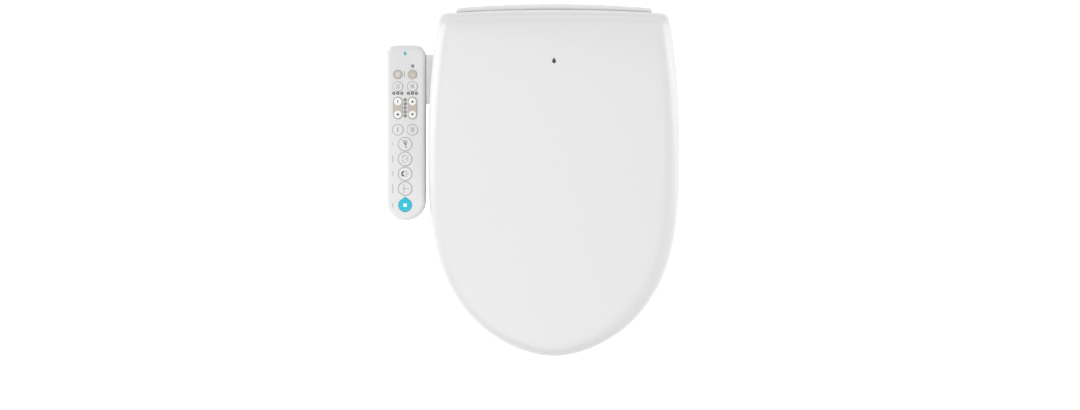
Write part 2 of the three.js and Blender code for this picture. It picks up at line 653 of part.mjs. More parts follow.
function nozzleCradle() {
  const floor = box(-19.5, 19.5, 8, 88, -9, -5.6);
  const rails = [-18.2, 0, 18.2].map((x) => box(x - 1.3, x + 1.3, 8, 88, -6, 1));
  return sloped(join(floor, ...rails));
}

// ---- water and air -----------------------------------------------------------------------------

function heaterTank() {
  const shape = new THREE.Shape(points2([-128, -84], [-62, -84], [-62, -30], [-128, -30]));
  const port = rod('z', 55, 66, 4, [-118, -42, 0], 12);
  return prism(shape, 16, 58, 3).add(port);
}

function inletValve() {
  return box(-146, -134, -16, 6, 12, 34)
    .add(box(-160, -145, -13, 3, 9, 24))
    .add(rod('z', 30, 44, 4.4, [-139, -5, 0], 12));
}

function waterHose() {
  const path = new THREE.CatmullRomCurve3([
    new THREE.Vector3(-139, -5, 44.8), new THREE.Vector3(-139, -6, 58),
    new THREE.Vector3(-133, -16, 68), new THREE.Vector3(-124, -32, 73),
    new THREE.Vector3(-118, -41, 73), new THREE.Vector3(-118, -42, 67),
  ]);
  const section = new THREE.Shape().absarc(0, 0, 3, 0, 2 * Math.PI, false);
  const options = { steps: 12, extrudePath: path, bevelEnabled: false, curveSegments: 4 };
  return solid(new THREE.ExtrudeGeometry(section, options));
}

function fanCasing() {
  const { x, y, z, radius, width } = FAN;
  const [x0, x1] = [x - width / 2, x + width / 2];
  const scroll = rod('x', x0, x1, radius, [0, y, z], 24);
  const duct = box(x0, x1, -88, y, 13, 29);
  const room = rod('x', x0 + 2, x1 + 1, radius - 2, [0, y, z], 24);
  return scroll.add(duct).subtract(room).subtract(box(x0 + 2, x1 - 2, -90, y, 15, 27));
}

function impeller() {
  const { x, y, z, width, wheelRadius } = FAN;
  const disc = rod('x', x + width / 2 - 5, x + width / 2 - 3, wheelRadius, [0, y, z]);
  const shaft = rod('x', x + width / 2 - 12, x + width / 2 + 0.7, 3, [0, y, z], 10);
  const blades = [];
  for (let k = 0; k < 12; k += 1) {
    const blade = new THREE.BoxGeometry(17, 1.2, 5.5);
    blade.rotateX(0.5).translate(x + 2, 0, wheelRadius - 3.2);
    blades.push(solid(blade.rotateX((k / 12) * 2 * Math.PI).translate(0, y, z)));
  }
  return join(disc, shaft, ...blades);
}

const fanMotor = () => rod('x', FAN.x + FAN.width / 2 + 1, FAN.x + FAN.width / 2 + 18, 12, [0, FAN.y, FAN.z]);

function dryerFlap() {
  const y = BODY.frontY + 1.2;
  const pin = rod('x', FAN.x - 13.6, FAN.x + 13.6, 1.1, [0, y, 28.4], 10);
  return box(FAN.x - 13, FAN.x + 13, y - 1, y + 1, 12.6, 28.4).add(pin);
}

const mainBoard = () => box(88, 140, -18, 40, 46, 47.6);

function filterCartridge() {
  const x = BODY.wingHalfWidth;
  const cassette = box(x - 54, x, -61, -29, 12, 36).subtract(box(x - 52, x - 4, -59, -31, 10, 34));
  return cassette.subtract(box(x - 2.5, x + 1, -52, -38, 22, 30));
}

// ---- materials ---------------------------------------------------------------------------------

const finish = (color, roughness, metalness = 0) => () => (
  new THREE.MeshStandardMaterial({ color, roughness, metalness }));
const white = finish(0xe9eaec, 0.25);
const tan = finish(0xd9cbb8, 0.4);
const keyWhite = finish(0xf1f0ee, 0.4);
const teal = finish(0x18c6e2, 0.35);
const rubber = finish(0x6b6e72, 0.85);
const nylon = finish(0x55585c, 0.6);
const steel = finish(0xb9bcc0, 0.3, 1);
const board = finish(0x2f6b3f, 0.6);
const clear = finish(0x8fa7b5, 0.2);
const carbon = finish(0x2b2c2e, 0.9);

// ---- assembly ----------------------------------------------------------------------------------

const seatInsert = new THREE.Group();
seatInsert.name = 'bidet_seat';

function add(name, body, material) {
  const mesh = new THREE.Mesh(geometryOf(body), material());
  mesh.name = name;
  seatInsert.add(mesh);
}

add('mounting_plate', mountingPlate(), nylon);
for (const [word, side] of [['left', -1], ['right', 1]]) {
  add(`bolt_${word}`, bolt(side), steel);
  add(`rubber_cone_${word}`, rubberCone(side), rubber);
  add(`wing_nut_${word}`, wingNut(side), nylon);
}

add('base_case', baseCase(), white);
add('top_cover', topCover(), white);
add('release_button', releaseButton(), white);
add('inlet_fitting', spout(-152, -5, 18, 7, 4), steel);
add('cord_gland', spout(152, 8, 10, 5.5, 3), rubber);
add('drain_plug', drainPlug(), nylon);

add('lid_damper', damper(-1), nylon);
add('lid_damper_shaft', damperShaft(-1), steel);
add('seat_damper', damper(1), nylon);
add('seat_damper_shaft', damperShaft(1), steel);

add('lid_shell', lidShell(), white);
add('lid_buffer_left', lidBuffer(-1), rubber);
add('lid_buffer_right', lidBuffer(1), rubber);

add('seat_top', seatTop(), white);
add('seat_base', seatBase(), white);
add('seat_heater', seatHeater(), clear);
for (const [word, x, y] of [['rear_left', -145, -165], ['rear_right', 145, -165],
  ['front_left', -72, -432], ['front_right', 72, -432]]) {
  add(`seat_buffer_${word}`, seatBuffer(x, y), rubber);
}

add('arm_top_case', armTopCase(), white);
add('arm_bottom_case', armBottomCase(), white);
add('control_board', controlBoard(), board);
add('light_guide', lightGuide(), clear);
for (const key of KEYS) {
  const isTan = key.y > -60 || key.length;
  add(key.name, keyCap(key), key.tip ? teal : isTan ? tan : keyWhite);
}

add('nozzle_cradle', nozzleCradle(), nylon);
add('rear_wash_nozzle', nozzle(-1, [[-1.6, 6], [1.6, 6], [0, 9]]), keyWhite);
add('front_wash_nozzle', nozzle(1, [[-1.6, 5], [1.6, 5], [-1.6, 9], [1.6, 9]]), keyWhite);
for (const [word, side] of [['rear_wash', -1], ['front_wash', 1]]) {
  add(`${word}_pinion`, pinion(side), tan);
  add(`${word}_motor`, nozzleMotor(side), steel);
}
add('inlet_valve', inletValve(), nylon);
add('heater_tank', heaterTank(), clear);
add('water_hose', waterHose(), rubber);

add('fan_casing', fanCasing(), nylon);
add('fan_impeller', impeller(), keyWhite);
add('fan_motor', fanMotor(), steel);
add('dryer_flap', dryerFlap(), white);
add('main_board', mainBoard(), board);
add('carbon_filter', filterCartridge(), carbon);

export default seatInsert;
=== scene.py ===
"""Electric bidet seat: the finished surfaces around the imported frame, with materials, light and camera."""

import math

import bmesh
import bpy
from mathutils import Matrix, Vector


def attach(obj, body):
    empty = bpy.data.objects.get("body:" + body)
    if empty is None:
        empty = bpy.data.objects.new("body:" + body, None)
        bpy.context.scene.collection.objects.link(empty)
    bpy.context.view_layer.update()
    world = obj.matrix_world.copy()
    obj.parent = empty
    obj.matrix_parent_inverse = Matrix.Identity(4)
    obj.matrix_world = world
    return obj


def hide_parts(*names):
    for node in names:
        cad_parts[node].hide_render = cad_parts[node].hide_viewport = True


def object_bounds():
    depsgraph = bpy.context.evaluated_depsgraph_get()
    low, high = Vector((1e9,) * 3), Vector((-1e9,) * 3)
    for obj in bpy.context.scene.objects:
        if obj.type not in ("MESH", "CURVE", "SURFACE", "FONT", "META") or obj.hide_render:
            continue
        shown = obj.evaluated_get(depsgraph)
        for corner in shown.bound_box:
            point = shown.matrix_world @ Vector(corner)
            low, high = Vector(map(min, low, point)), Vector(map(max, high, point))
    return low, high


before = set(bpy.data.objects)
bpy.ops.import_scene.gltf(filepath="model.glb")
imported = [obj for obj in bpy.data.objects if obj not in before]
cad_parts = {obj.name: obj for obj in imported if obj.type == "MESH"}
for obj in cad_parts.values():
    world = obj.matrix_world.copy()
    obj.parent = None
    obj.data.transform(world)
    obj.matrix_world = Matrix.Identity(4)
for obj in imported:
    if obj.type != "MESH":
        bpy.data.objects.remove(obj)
cad_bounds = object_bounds()

MM = 0.001

# ---- driving sizes, in millimetres unless the name says otherwise ------------------------------

HINGE_Y, HINGE_Z, EYE_RADIUS = 22.0, 98.0, 13.0
LID = dict(half=189.0, widest=-158.8, front=-475.3, rear=46.0, front_power=3.17, side_power=1.776,
           taper=0.00043, corner_x=160.5, corner_y=28.2, corner=13.0, arch=5.0,
           front_z=58.0, crest_z=122.0, edge_high=14.0, edge_wide=24.0, skin=3.0,
           skirt_front=24.0, skirt_side=50.0, skirt_from=-400.0, skirt_over=290.0,
           tail_rise=40.0, tail_from=-34.0, tail_over=70.0, lap=-5.0)
SEAT = dict(inset=6.0, rear=-98.0, corner=10.0, front_z=40.0, rear_z=60.0, split_z=20.0, bottom_z=7.0,
            hole_half=103.0, hole_length=140.0, hole_y=-260.0, hole_power=2.3, skin=3.0,
            ear_x=149.0, ear_wide=7.0, notch_half=92.0, notch_z=33.0, notch_y=-130.0)
BODY = dict(half=147.0, wing=168.0, front=-93.0, rear=54.5, arch=6.0, split_z=42.3, rim_z=95.0, groove=0.6)
ARM = dict(left=-253.5, right=-192.8, rear=-6.3, front=-270.3, corner=16.0, bottom_z=20.0,
           split_z=40.0, top_z=62.0, edge=7.0, bridge_front=-94.5, bridge_rear=-20.5)
KEY_X, KEY_COLUMN, KEY_PROUD = -223.9, 11.0, 0.8
NOZZLE_TILT = math.radians(28)
NOZZLE_FOOT_Y, NOZZLE_FOOT_Z = -90.0, 21.0
ROCKER_LONG = 33.4
CUT_GROWTH = 0.35           # how much wider the arm's key holes are than the keys
PRINT_RISE = 0.05           # how far a printed mark stands off its face


def clamp(value, low=0.0, high=1.0):
    return max(low, min(high, value))


def smooth(value):
    value = clamp(value)
    return value * value * (3 - 2 * value)


def mix(a, b, t):
    return a + (b - a) * t


# ---- materials ---------------------------------------------------------------------------------

def node(tree, kind, inputs=None, **settings):
    made = tree.nodes.new(kind)
    for key, value in settings.items():
        setattr(made, key, value)
    for key, value in (inputs or {}).items():
        if isinstance(value, bpy.types.NodeSocket):
            tree.links.new(value, made.inputs[key])
        else:
            made.inputs[key].default_value = value
    return made


def shade(colour, factor):
    return tuple(clamp(channel * factor) for channel in colour) + (1.0,)


def surface(name, colour, roughness, spread=0.03, mottle=14.0, grain=1400.0, grain_depth=0.04,
            wear=0.08, wear_width=0.0006, coat=0.0, metallic=0.0, through=0.0, streak=None):
    """A moulded, turned or pressed surface: broad colour drift, fine grain, varying gloss, and edges
    that are rubbed a little lighter, or darker where wear is negative."""
    material = bpy.data.materials.new(name)
    material.use_nodes = True
    tree = material.node_tree
    shader = tree.nodes["Principled BSDF"]
    place = node(tree, "ShaderNodeTexCoord").outputs["Object"]
    if streak:
        stretch = node(tree, "ShaderNodeMapping", {"Vector": place, "Scale": streak})
        place = stretch.outputs["Vector"]
    drift = node(tree, "ShaderNodeTexNoise", {"Vector": place, "Scale": mottle, "Detail": 4.0})
    tint = node(tree, "ShaderNodeMix", {"Factor": drift.outputs["Fac"], "A": shade(colour, 1 - spread),
                                        "B": shade(colour, 1 + spread)}, data_type="RGBA")
    rounded = node(tree, "ShaderNodeBevel", {"Radius": wear_width}, samples=4)
    facing = node(tree, "ShaderNodeNewGeometry")
    flatness = node(tree, "ShaderNodeVectorMath", {0: rounded.outputs["Normal"],
                                                   1: facing.outputs["Normal"]}, operation="DOT_PRODUCT")
    edge = node(tree, "ShaderNodeMapRange", {"Value": flatness.outputs["Value"], "From Min": 0.94,
                                             "From Max": 0.7, "To Min": 0.0, "To Max": abs(wear) * 3})
    patchy = node(tree, "ShaderNodeTexNoise", {"Vector": place, "Scale": mottle * 9, "Detail": 3.0})
    rubbed = node(tree, "ShaderNodeMath", {0: edge.outputs["Result"], 1: patchy.outputs["Fac"]},
                  operation="MULTIPLY")
    worn = shade(colour, 1.12 if wear >= 0 else 0.55)
    colour_out = node(tree, "ShaderNodeMix", {"Factor": rubbed.outputs["Value"], "A": tint.outputs["Result"],
                                              "B": worn}, data_type="RGBA")
    tree.links.new(colour_out.outputs["Result"], shader.inputs["Base Color"])
    gloss = node(tree, "ShaderNodeMapRange", {"Value": drift.outputs["Fac"], "To Min": roughness * 0.85,
                                              "To Max": min(1.0, roughness * 1.2)})
    tree.links.new(gloss.outputs["Result"], shader.inputs["Roughness"])
    fine = node(tree, "ShaderNodeTexNoise", {"Vector": place, "Scale": grain, "Detail": 2.0})
    bump = node(tree, "ShaderNodeBump", {"Height": fine.outputs["Fac"], "Strength": grain_depth,
                                         "Distance": 0.0002})
    tree.links.new(bump.outputs["Normal"], shader.inputs["Normal"])
    shader.inputs["Metallic"].default_value = metallic
    shader.inputs["Coat Weight"].default_value = coat
    shader.inputs["Coat Roughness"].default_value = 0.08
    shader.inputs["Transmission Weight"].default_value = through
    return material


def board_surface(name):
    """Green lacquer over a lattice of copper tracks."""
    material = surface(name, (0.05, 0.19, 0.09), 0.35, spread=0.12)
    tree = material.node_tree
    shader = tree.nodes["Principled BSDF"]
    place = node(tree, "ShaderNodeTexCoord").outputs["Object"]
    tracks = node(tree, "ShaderNodeTexBrick", {"Vector": place, "Scale": 90.0, "Mortar Size": 0.03,
                                               "Color1": (0, 0, 0, 1), "Color2": (0, 0, 0, 1),
                                               "Mortar": (1, 1, 1, 1)})
    base = shader.inputs["Base Color"].links[0].from_socket
    blend = node(tree, "ShaderNodeMix", {"Factor": tracks.outputs["Color"], "A": base,
                                         "B": (0.16, 0.36, 0.14, 1)}, data_type="RGBA")
    tree.links.new(blend.outputs["Result"], shader.inputs["Base Color"])
    return material


WHITE_GRAIN = dict(spread=0.012, grain_depth=0.03, wear=0.05)
KEY_GRAIN = dict(grain=2500.0, grain_depth=0.08)

SHELL = surface("shell_white", (0.665, 0.667, 0.67), 0.3, mottle=7.0, grain=900.0, coat=0.15, **WHITE_GRAIN)
# Painted light: the housing's white is the lid shell's white plastic made lighter, to stand in for light on
# the rear strip that the lid shades.
HOUSING_WHITE_PAINTED_LIGHTER = surface("housing_white_painted_lighter", (0.76, 0.762, 0.765), 0.32, mottle=7.0, grain=900.0,
                        coat=0.1, **WHITE_GRAIN)
SEAT_WHITE = surface("seat_white", (0.64, 0.644, 0.65), 0.24, mottle=9.0, grain=700.0,
                     coat=0.3, **WHITE_GRAIN)
ARM_WHITE = surface("arm_white", (0.69, 0.69, 0.694), 0.42, spread=0.015, mottle=16.0, grain=2200.0,
                    grain_depth=0.06, wear=0.05)
TAN = surface("tan_key", (0.51, 0.455, 0.395), 0.45, spread=0.05, mottle=60.0, wear=0.12, **KEY_GRAIN)
PALE = surface("pale_key", (0.84, 0.84, 0.83), 0.4, spread=0.02, mottle=60.0, wear=0.08, **KEY_GRAIN)
TEAL = surface("teal_key", (0.002, 0.47, 0.62), 0.38, spread=0.05, mottle=50.0, wear=0.12, **KEY_GRAIN)
RING = surface("print_ring", (0.52, 0.505, 0.475), 0.5, spread=0.05, mottle=120.0, wear=0.0)
KEY_FACE = surface("key_face", (0.69, 0.69, 0.685), 0.4, spread=0.02, mottle=60.0, wear=0.08, **KEY_GRAIN)
RING_PALE = surface("print_ring_pale", (0.56, 0.56, 0.56), 0.5, spread=0.05, mottle=120.0, wear=0.0)
INK = surface("print_ink", (0.035, 0.035, 0.05), 0.5, spread=0.15, mottle=200.0, wear=0.0)
INK_GREY = surface("print_grey", (0.14, 0.14, 0.15), 0.5, spread=0.1, mottle=200.0, wear=0.0)
INK_TEAL = surface("print_teal", (0.05, 0.45, 0.48), 0.5, spread=0.1, mottle=200.0, wear=0.0)
LENS = surface("light_lens", (0.62, 0.64, 0.66), 0.2, spread=0.04, mottle=200.0, coat=0.5)
RUBBER = surface("grey_rubber", (0.15, 0.155, 0.165), 0.75, spread=0.12, mottle=90.0, grain=3000.0,
                 grain_depth=0.25, wear=0.15)
NYLON = surface("dark_nylon", (0.085, 0.09, 0.095), 0.5, spread=0.12, mottle=60.0, grain=2600.0,
                grain_depth=0.15, wear=0.25)
ACETAL = surface("natural_acetal", (0.74, 0.71, 0.62), 0.42, spread=0.06, mottle=80.0, wear=0.1)
STEEL = surface("brushed_steel", (0.60, 0.61, 0.62), 0.3, spread=0.08, mottle=40.0, grain=1500.0,
                grain_depth=0.12, wear=0.2, metallic=1.0, streak=(1, 14, 14))
FOIL = surface("heating_foil", (0.72, 0.72, 0.71), 0.35, spread=0.08, mottle=60.0, grain=500.0,
               grain_depth=0.3, metallic=1.0)
MILKY = surface("milky_plastic", (0.52, 0.58, 0.62), 0.3, spread=0.06, mottle=40.0, through=0.15)
CARBON = surface("carbon_cassette", (0.022, 0.022, 0.024), 0.7, spread=0.3, mottle=120.0, grain=1800.0,
                 grain_depth=0.4, wear=0.3)
BOARD = board_surface("circuit_board")


# ---- mesh making -------------------------------------------------------------------------------

def put(name, body, slot, verts, faces, material, replaces=(), sharp=38.0, level=True):
    """A piece from points in millimetres, riding a body. Material may be a list, one per face."""
    mesh = bpy.data.meshes.new(name)
    corners = [face[0] if isinstance(face[0], tuple) else face for face in faces]
    mesh.from_pydata([Vector(v) * MM for v in verts], [], corners)
    used = material if isinstance(material, list) else [material]
    for each in used:
        mesh.materials.append(each)
    for polygon, face in zip(mesh.polygons, faces):
        polygon.material_index = face[1] if isinstance(face[0], tuple) else 0
    piece = bpy.data.objects.new(name, mesh)
    bpy.context.scene.collection.objects.link(piece)
    return settle(piece, body, replaces, sharp, level)


def settle(piece, body, replaces=(), sharp=38.0, level=True):
    """Cleans a piece's mesh, smooths it between its real edges, and fixes it to its body. Level weights
    the shading by area, so that flat faces stay flat up to their rounded edges."""
    form = bmesh.new()
    form.from_mesh(piece.data)
    bmesh.ops.remove_doubles(form, verts=form.verts, dist=2e-6)
    bmesh.ops.dissolve_degenerate(form, edges=form.edges, dist=1e-6)
    bmesh.ops.recalc_face_normals(form, faces=form.faces)
    limit = math.radians(sharp)
    for edge in form.edges:
        edge.smooth = edge.is_manifold and edge.calc_face_angle(0.0) < limit
    for face in form.faces:
        face.smooth = True
    form.to_mesh(piece.data)
    form.free()
    if level:
        weighted = piece.modifiers.new("level", "WEIGHTED_NORMAL")
        weighted.keep_sharp = True
        weighted.weight = 90
        bake(piece)
    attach(piece, body)
    if replaces:
        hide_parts(*replaces)
    return piece


def loft(rings, start=None, end=None, around=False):
    """Skins a stack of rings. The ends close onto a point, or, when around is true, onto each other."""
    count = len(rings[0])
    verts = [point for ring in rings for point in ring]
    faces = []
    bands = len(rings) if around else len(rings) - 1
    for band in range(bands):
        low, high = band * count, ((band + 1) % len(rings)) * count
        for k in range(count):
            nxt = (k + 1) % count
            faces.append((low + k, low + nxt, high + nxt, high + k))
    for tip, base, flip in ((start, 0, True), (end, (len(rings) - 1) * count, False)):
        if tip is None:
            continue
        verts.append(tip)
        for k in range(count):
            pair = (base + (k + 1) % count, base + k)
            faces.append((len(verts) - 1, *pair) if flip else (len(verts) - 1, pair[1], pair[0]))
    return verts, faces


def capped(rings):
    """A loft whose first and last rings are closed by one flat face each."""
    verts, faces = loft(rings)
    count = len(rings[0])
    faces.append(tuple(reversed(range(count))))
    faces.append(tuple(range((len(rings) - 1) * count, len(rings) * count)))
    return verts, faces


def together(*shapes):
    """Several (verts, faces) as one."""
    verts, faces = [], []
    for more_verts, more_faces in shapes:
        shift = len(verts)
        verts += more_verts
        for face in more_faces:
            if isinstance(face[0], tuple):
                faces.append((tuple(i + shift for i in face[0]), face[1]))
            else:
                faces.append(tuple(i + shift for i in face))
    return verts, faces


def painted(shape, index):
    """The same shape with every face in one of the piece's materials."""
    verts, faces = shape
    return verts, [(face, index) for face in faces]


def turned(profile, axis="z", centre=(0, 0, 0), segments=48):
    """A turned body about Z or X. Its profile of (radius, height) starts and ends on the axis."""
    rings = []
    for radius, height in profile[1:-1]:
        ring = []
        for k in range(segments):
            angle = 2 * math.pi * k / segments
            a, b = radius * math.cos(angle), radius * math.sin(angle)
            local = (height, a, b) if axis == "x" else (a, b, height)
            ring.append(Vector(local) + Vector(centre))
        rings.append(ring)
    ends = [(h, 0, 0) if axis == "x" else (0, 0, h) for h in (profile[0][1], profile[-1][1])]
    return loft(rings, Vector(ends[0]) + Vector(centre), Vector(ends[1]) + Vector(centre))


def rounded_steps(radius, low, high, edge, steps=4):
    """Profile of a disc with a rounded top edge."""
    profile = [(0, low), (radius, low)]
    for k in range(steps + 1):
        angle = math.pi / 2 * k / steps
        profile.append((radius - edge + edge * math.cos(angle), high - edge + edge * math.sin(angle)))
    return profile + [(0, high)]


def offset(outline, distance):
    """Moves a closed plan outline inwards by a distance, point by point, along its own normals."""
    moved = []
    count = len(outline)
    for k, (x, y) in enumerate(outline):
        before, after = outline[k - 1], outline[(k + 1) % count]
        along = Vector((after[0] - before[0], after[1] - before[1]))
        normal = Vector((-along.y, along.x)).normalized()
        moved.append((x + normal.x * distance, y + normal.y * distance))
    return moved


def dome(outline, low, high, edge, steps=5, foot=0.0, crown=0.0):
    """A plan outline (anticlockwise) stood up from low to high, its top edge rounded, its face crowned."""
    rings = []
    if foot:
        rings.append([(x, y, low) for x, y in offset(outline, foot)])
    rings.append([(x, y, low + foot) for x, y in outline])
    for k in range(steps + 1):
        angle = math.pi / 2 * k / steps
        z = high - edge + edge * math.sin(angle)
        rings.append([(x, y, z) for x, y in offset(outline, edge * (1 - math.cos(angle)))])
    top = rings[-1]
    middle = (sum(p[0] for p in top) / len(top), sum(p[1] for p in top) / len(top))
    for share in (0.7, 0.35):
        rings.append([(mix(middle[0], x, share), mix(middle[1], y, share), high + crown * (1 - share ** 2))
                      for x, y, _ in top])
    bottom = rings[0]
    return loft(rings, (middle[0], middle[1], bottom[0][2]), (middle[0], middle[1], high + crown))


def refined(node_name, body, material, bevel=0.6, segments=2, sharp=38.0, name=None):
    """A CAD node's shape with its edges broken as a mould or a tool leaves them."""
    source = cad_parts[node_name]
    piece = bpy.data.objects.new(name or node_name + "_finished", source.data.copy())
    bpy.context.scene.collection.objects.link(piece)
    form = bmesh.new()
    form.from_mesh(piece.data)
    bmesh.ops.remove_doubles(form, verts=form.verts, dist=1e-6)
    bmesh.ops.dissolve_limit(form, angle_limit=math.radians(0.5), verts=form.verts, edges=form.edges)
    form.to_mesh(piece.data)
    form.free()
    piece.data.materials.clear()
    piece.data.materials.append(material)
    edges = piece.modifiers.new("edges", "BEVEL")
    edges.width = bevel * MM
    edges.segments = segments
    edges.limit_method = "ANGLE"
    edges.angle_limit = math.radians(sharp)
    edges.use_clamp_overlap = True
    edges.harden_normals = False
    bake(piece)
    return settle(piece, body, (node_name,), sharp)


def bake(piece):
    """Applies every modifier."""
    graph = bpy.context.evaluated_depsgraph_get()
    done = bpy.data.meshes.new_from_object(piece.evaluated_get(graph))
    piece.modifiers.clear()
    piece.data = done
    return piece


def scratch(shape):
    """A throwaway object for cutting with."""
    mesh = bpy.data.meshes.new("cutter")
    mesh.from_pydata([Vector(v) * MM for v in shape[0]], [], shape[1])
    cutter = bpy.data.objects.new("cutter", mesh)
    bpy.context.scene.collection.objects.link(cutter)
    form = bmesh.new()
    form.from_mesh(mesh)
    bmesh.ops.recalc_face_normals(form, faces=form.faces)
    form.to_mesh(mesh)
    form.free()
    return cutter


def cut(shape, *tools):
    """A shape with other closed shapes cut out of it, as an object that isn't settled yet."""
    blank = scratch(shape)
    for tool in tools:
        cutter = scratch(tool)
        knife = blank.modifiers.new("cut", "BOOLEAN")
        knife.operation = "DIFFERENCE"
        knife.solver = "EXACT"
        knife.object = cutter
        bake(blank)
        bpy.data.objects.remove(cutter)
    return blank


def block(x0, x1, y0, y1, z0, z1):
    corners = [(x0, y0), (x1, y0), (x1, y1), (x0, y1)]
    return capped([[(x, y, z) for x, y in corners] for z in (z0, z1)])


# ---- lid ---------------------------------------------------------------------------------------

def barrel_radius(x):
    return LID["crest_z"] - HINGE_Z - LID["arch"] * (x / LID["corner_x"]) ** 2


def side_at(y):
    return LID["half"] - LID["taper"] * (y - LID["widest"]) ** 2


def front_curve(steps):
    """The front half of the plan, a superellipse with its own power in each direction."""
    curve = []
    for k in range(steps + 1):
        angle = math.pi / 2 * k / steps
        x = LID["half"] * max(0.0, math.cos(angle)) ** (2 / LID["side_power"])
        y = mix(LID["widest"], LID["front"], math.sin(angle) ** (2 / LID["front_power"]))
        curve.append((0.0 if k == steps else x, y))
    return curve


def mirrored(half):
    """Both sides of an outline given from the rear middle to the front middle, anticlockwise."""
    return (half + [(-x, y) for x, y in reversed(half[1:-1])])[::-1]


def lid_outline():
    half = []
    for k in range(14):
        x = 150 * k / 13
        half.append((x, LID["rear"] - LID["arch"] * (x / LID["corner_x"]) ** 2))
    for k in range(9):
        angle = math.radians(80 - 9.5 * k)
        half.append((LID["corner_x"] + LID["corner"] * math.cos(angle),
                     LID["corner_y"] + LID["corner"] * math.sin(angle)))
    half += [(side_at(y), y) for y in range(16, -150, -12)]
    return mirrored(half + front_curve(34))


def lid_top(x, y):
    along = clamp((y - LID["front"]) / (HINGE_Y - LID["front"])) ** 1.25
    rise = 0.35 * along + 0.65 * smooth(along)
    return mix(LID["front_z"], LID["crest_z"], rise) - LID["arch"] * (x / LID["corner_x"]) ** 2


def skirt_at(y):
    """The height of the skirt's lower edge along the lid's side, lifted at the tail past the hinge."""
    along = smooth((y - LID["skirt_from"]) / LID["skirt_over"])
    tail = LID["tail_rise"] * smooth((y - LID["tail_from"]) / LID["tail_over"])
    return mix(LID["skirt_front"], LID["skirt_side"], along) + tail


def lid_ring(outline, degrees, depth):
    """One ring of the lid's rolled edge: at 0 degrees its wall is upright, at 90 its face is level."""
    angle = math.radians(degrees)
    ring = []
    for x, y in outline:
        rearness = clamp((y - LID["corner_y"]) / LID["corner"])
        barrel = barrel_radius(x) - depth
        roll = max(angle, 0.0)
        side = depth + (LID["edge_wide"] - depth) * (1 - math.cos(roll))
        rear = depth + barrel * (1 - math.cos(angle))
        reach = LID["rear"] - LID["widest"] if y > LID["widest"] else LID["widest"] - LID["front"]
        inset = rear if y > LID["widest"] else side
        px = x * (1 - side / LID["half"])
        py = LID["widest"] + (y - LID["widest"]) * (1 - inset / reach)
        radius = mix(LID["edge_high"] - depth, barrel, rearness)
        z = lid_top(px, py) - depth - radius * (1 - math.sin(angle))
        if degrees < 0:
            z = mix(skirt_at(y), z, rearness)
        ring.append(Vector((px, py, z)))
    return ring


def lid_face(outline, depth, angles):
    """Rings from the skirt's edge up over the rolled edge and in to the middle, and the middle point."""
    rings = [lid_ring(outline, degrees, depth) for degrees in angles]
    middle = Vector((0, LID["widest"] - 40, 0))
    brow = rings[-1]
    for share in (0.93, 0.85, 0.75, 0.64, 0.52, 0.4, 0.28, 0.16, 0.07):
        ring = []
        for point in brow:
            inner = middle.lerp(point, share)
            ring.append(Vector((inner.x, inner.y, lid_top(inner.x, inner.y) - depth)))
        rings.append(ring)
    return rings, Vector((0, middle.y, lid_top(0, middle.y) - depth))


def make_lid():
    outline = lid_outline()
    angles = [LID["lap"], 0, 8, 16, 24, 33, 42, 51, 60, 70, 80, 90]
    outer, outer_middle = lid_face(outline, 0, angles)
    inner, inner_middle = lid_face(outline, LID["skin"], angles)
    lip = []
    for share, drop in ((0.15, 0.45), (0.5, 0.7), (0.85, 0.45)):
        lip.append([a.lerp(b, share) - Vector((0, 0, drop)) for a, b in zip(outer[0], inner[0])])
    rings = list(reversed(outer)) + lip + inner
    verts, faces = loft(rings, outer_middle, inner_middle)
    put("lid_cover", "lid", "white_shell", verts, faces, SHELL, ("lid_shell",), sharp=50, level=False)
    near = SEAT["ear_x"] + SEAT["ear_wide"] + 2
    for side, word in ((-1, "left"), (1, "right")):
        low, high = sorted((side * near, side * (near + SEAT["ear_wide"])))
        profile = [(0, low), (4.3, low), (4.9, low), (14.7, low), (15.5, low + 0.8), (15.5, high - 0.8),
                   (14.7, high), (4.9, high), (4.3, high), (0, high)]
        lug = turned(profile, "x", (0, HINGE_Y, HINGE_Z))
        put(f"lid_hinge_lug_{word}", "lid", "white_shell", *lug, SHELL)


def finish_cut(blank, name, body, material, replaces=(), sharp=38.0):
    """Names a cut shape, gives it its material and settles it."""
    blank.name = name
    blank.data.materials.clear()
    for each in material if isinstance(material, list) else [material]:
        blank.data.materials.append(each)
    return settle(blank, body, replaces, sharp)


def arc(x, y, radius, start, end, steps):
    """Points along an arc, with its angles in degrees."""
    angles = [math.radians(mix(start, end, k / steps)) for k in range(steps + 1)]
    return [(x + radius * math.cos(a), y + radius * math.sin(a)) for a in angles]


def upright(outline, low, high):
    return capped([[(x, y, z) for x, y in outline] for z in (low, high)])


def across(profile, low, high, edge=0.0):
    """A side profile in (Y, Z) drawn out along X, its two rims eased by an edge."""
    rings = []
    for x, inset in ((low, edge), (low + edge, 0.0), (high - edge, 0.0), (high, edge)):
        if edge or inset == 0.0:
            rings.append([(x, y, z) for y, z in (offset(profile, inset) if inset else profile)])
    return capped(rings)


def ring_of(x, y, inner, outer, low, high, segments=40):
    rings = []
    for radius, z in ((inner, low), (outer, low), (outer, high), (inner, high)):
        rings.append([(px, py, z) for px, py in arc(x, y, radius, 0, 360, segments)[:-1]])
    return loft(rings, around=True)


def stroke(points, width, low, high):
    """A line of a given width laid on a face, with round ends."""
    left, right = [], []
    for k, (x, y) in enumerate(points):
        before, after = points[max(0, k - 1)], points[min(len(points) - 1, k + 1)]
        along = Vector((after[0] - before[0], after[1] - before[1])).normalized()
        left.append((x - along.y * width / 2, y + along.x * width / 2))
        right.append((x + along.y * width / 2, y - along.x * width / 2))
    ends = []
    for (x, y), (nx, ny) in ((points[-1], right[-1]), (points[0], left[0])):
        start = math.degrees(math.atan2(ny - y, nx - x))
        ends.append(arc(x, y, width / 2, start, start + 180, 6)[1:-1])
    return upright(right + ends[0] + left[::-1] + ends[1], low, high)


# ---- housing -----------------------------------------------------------------------------------

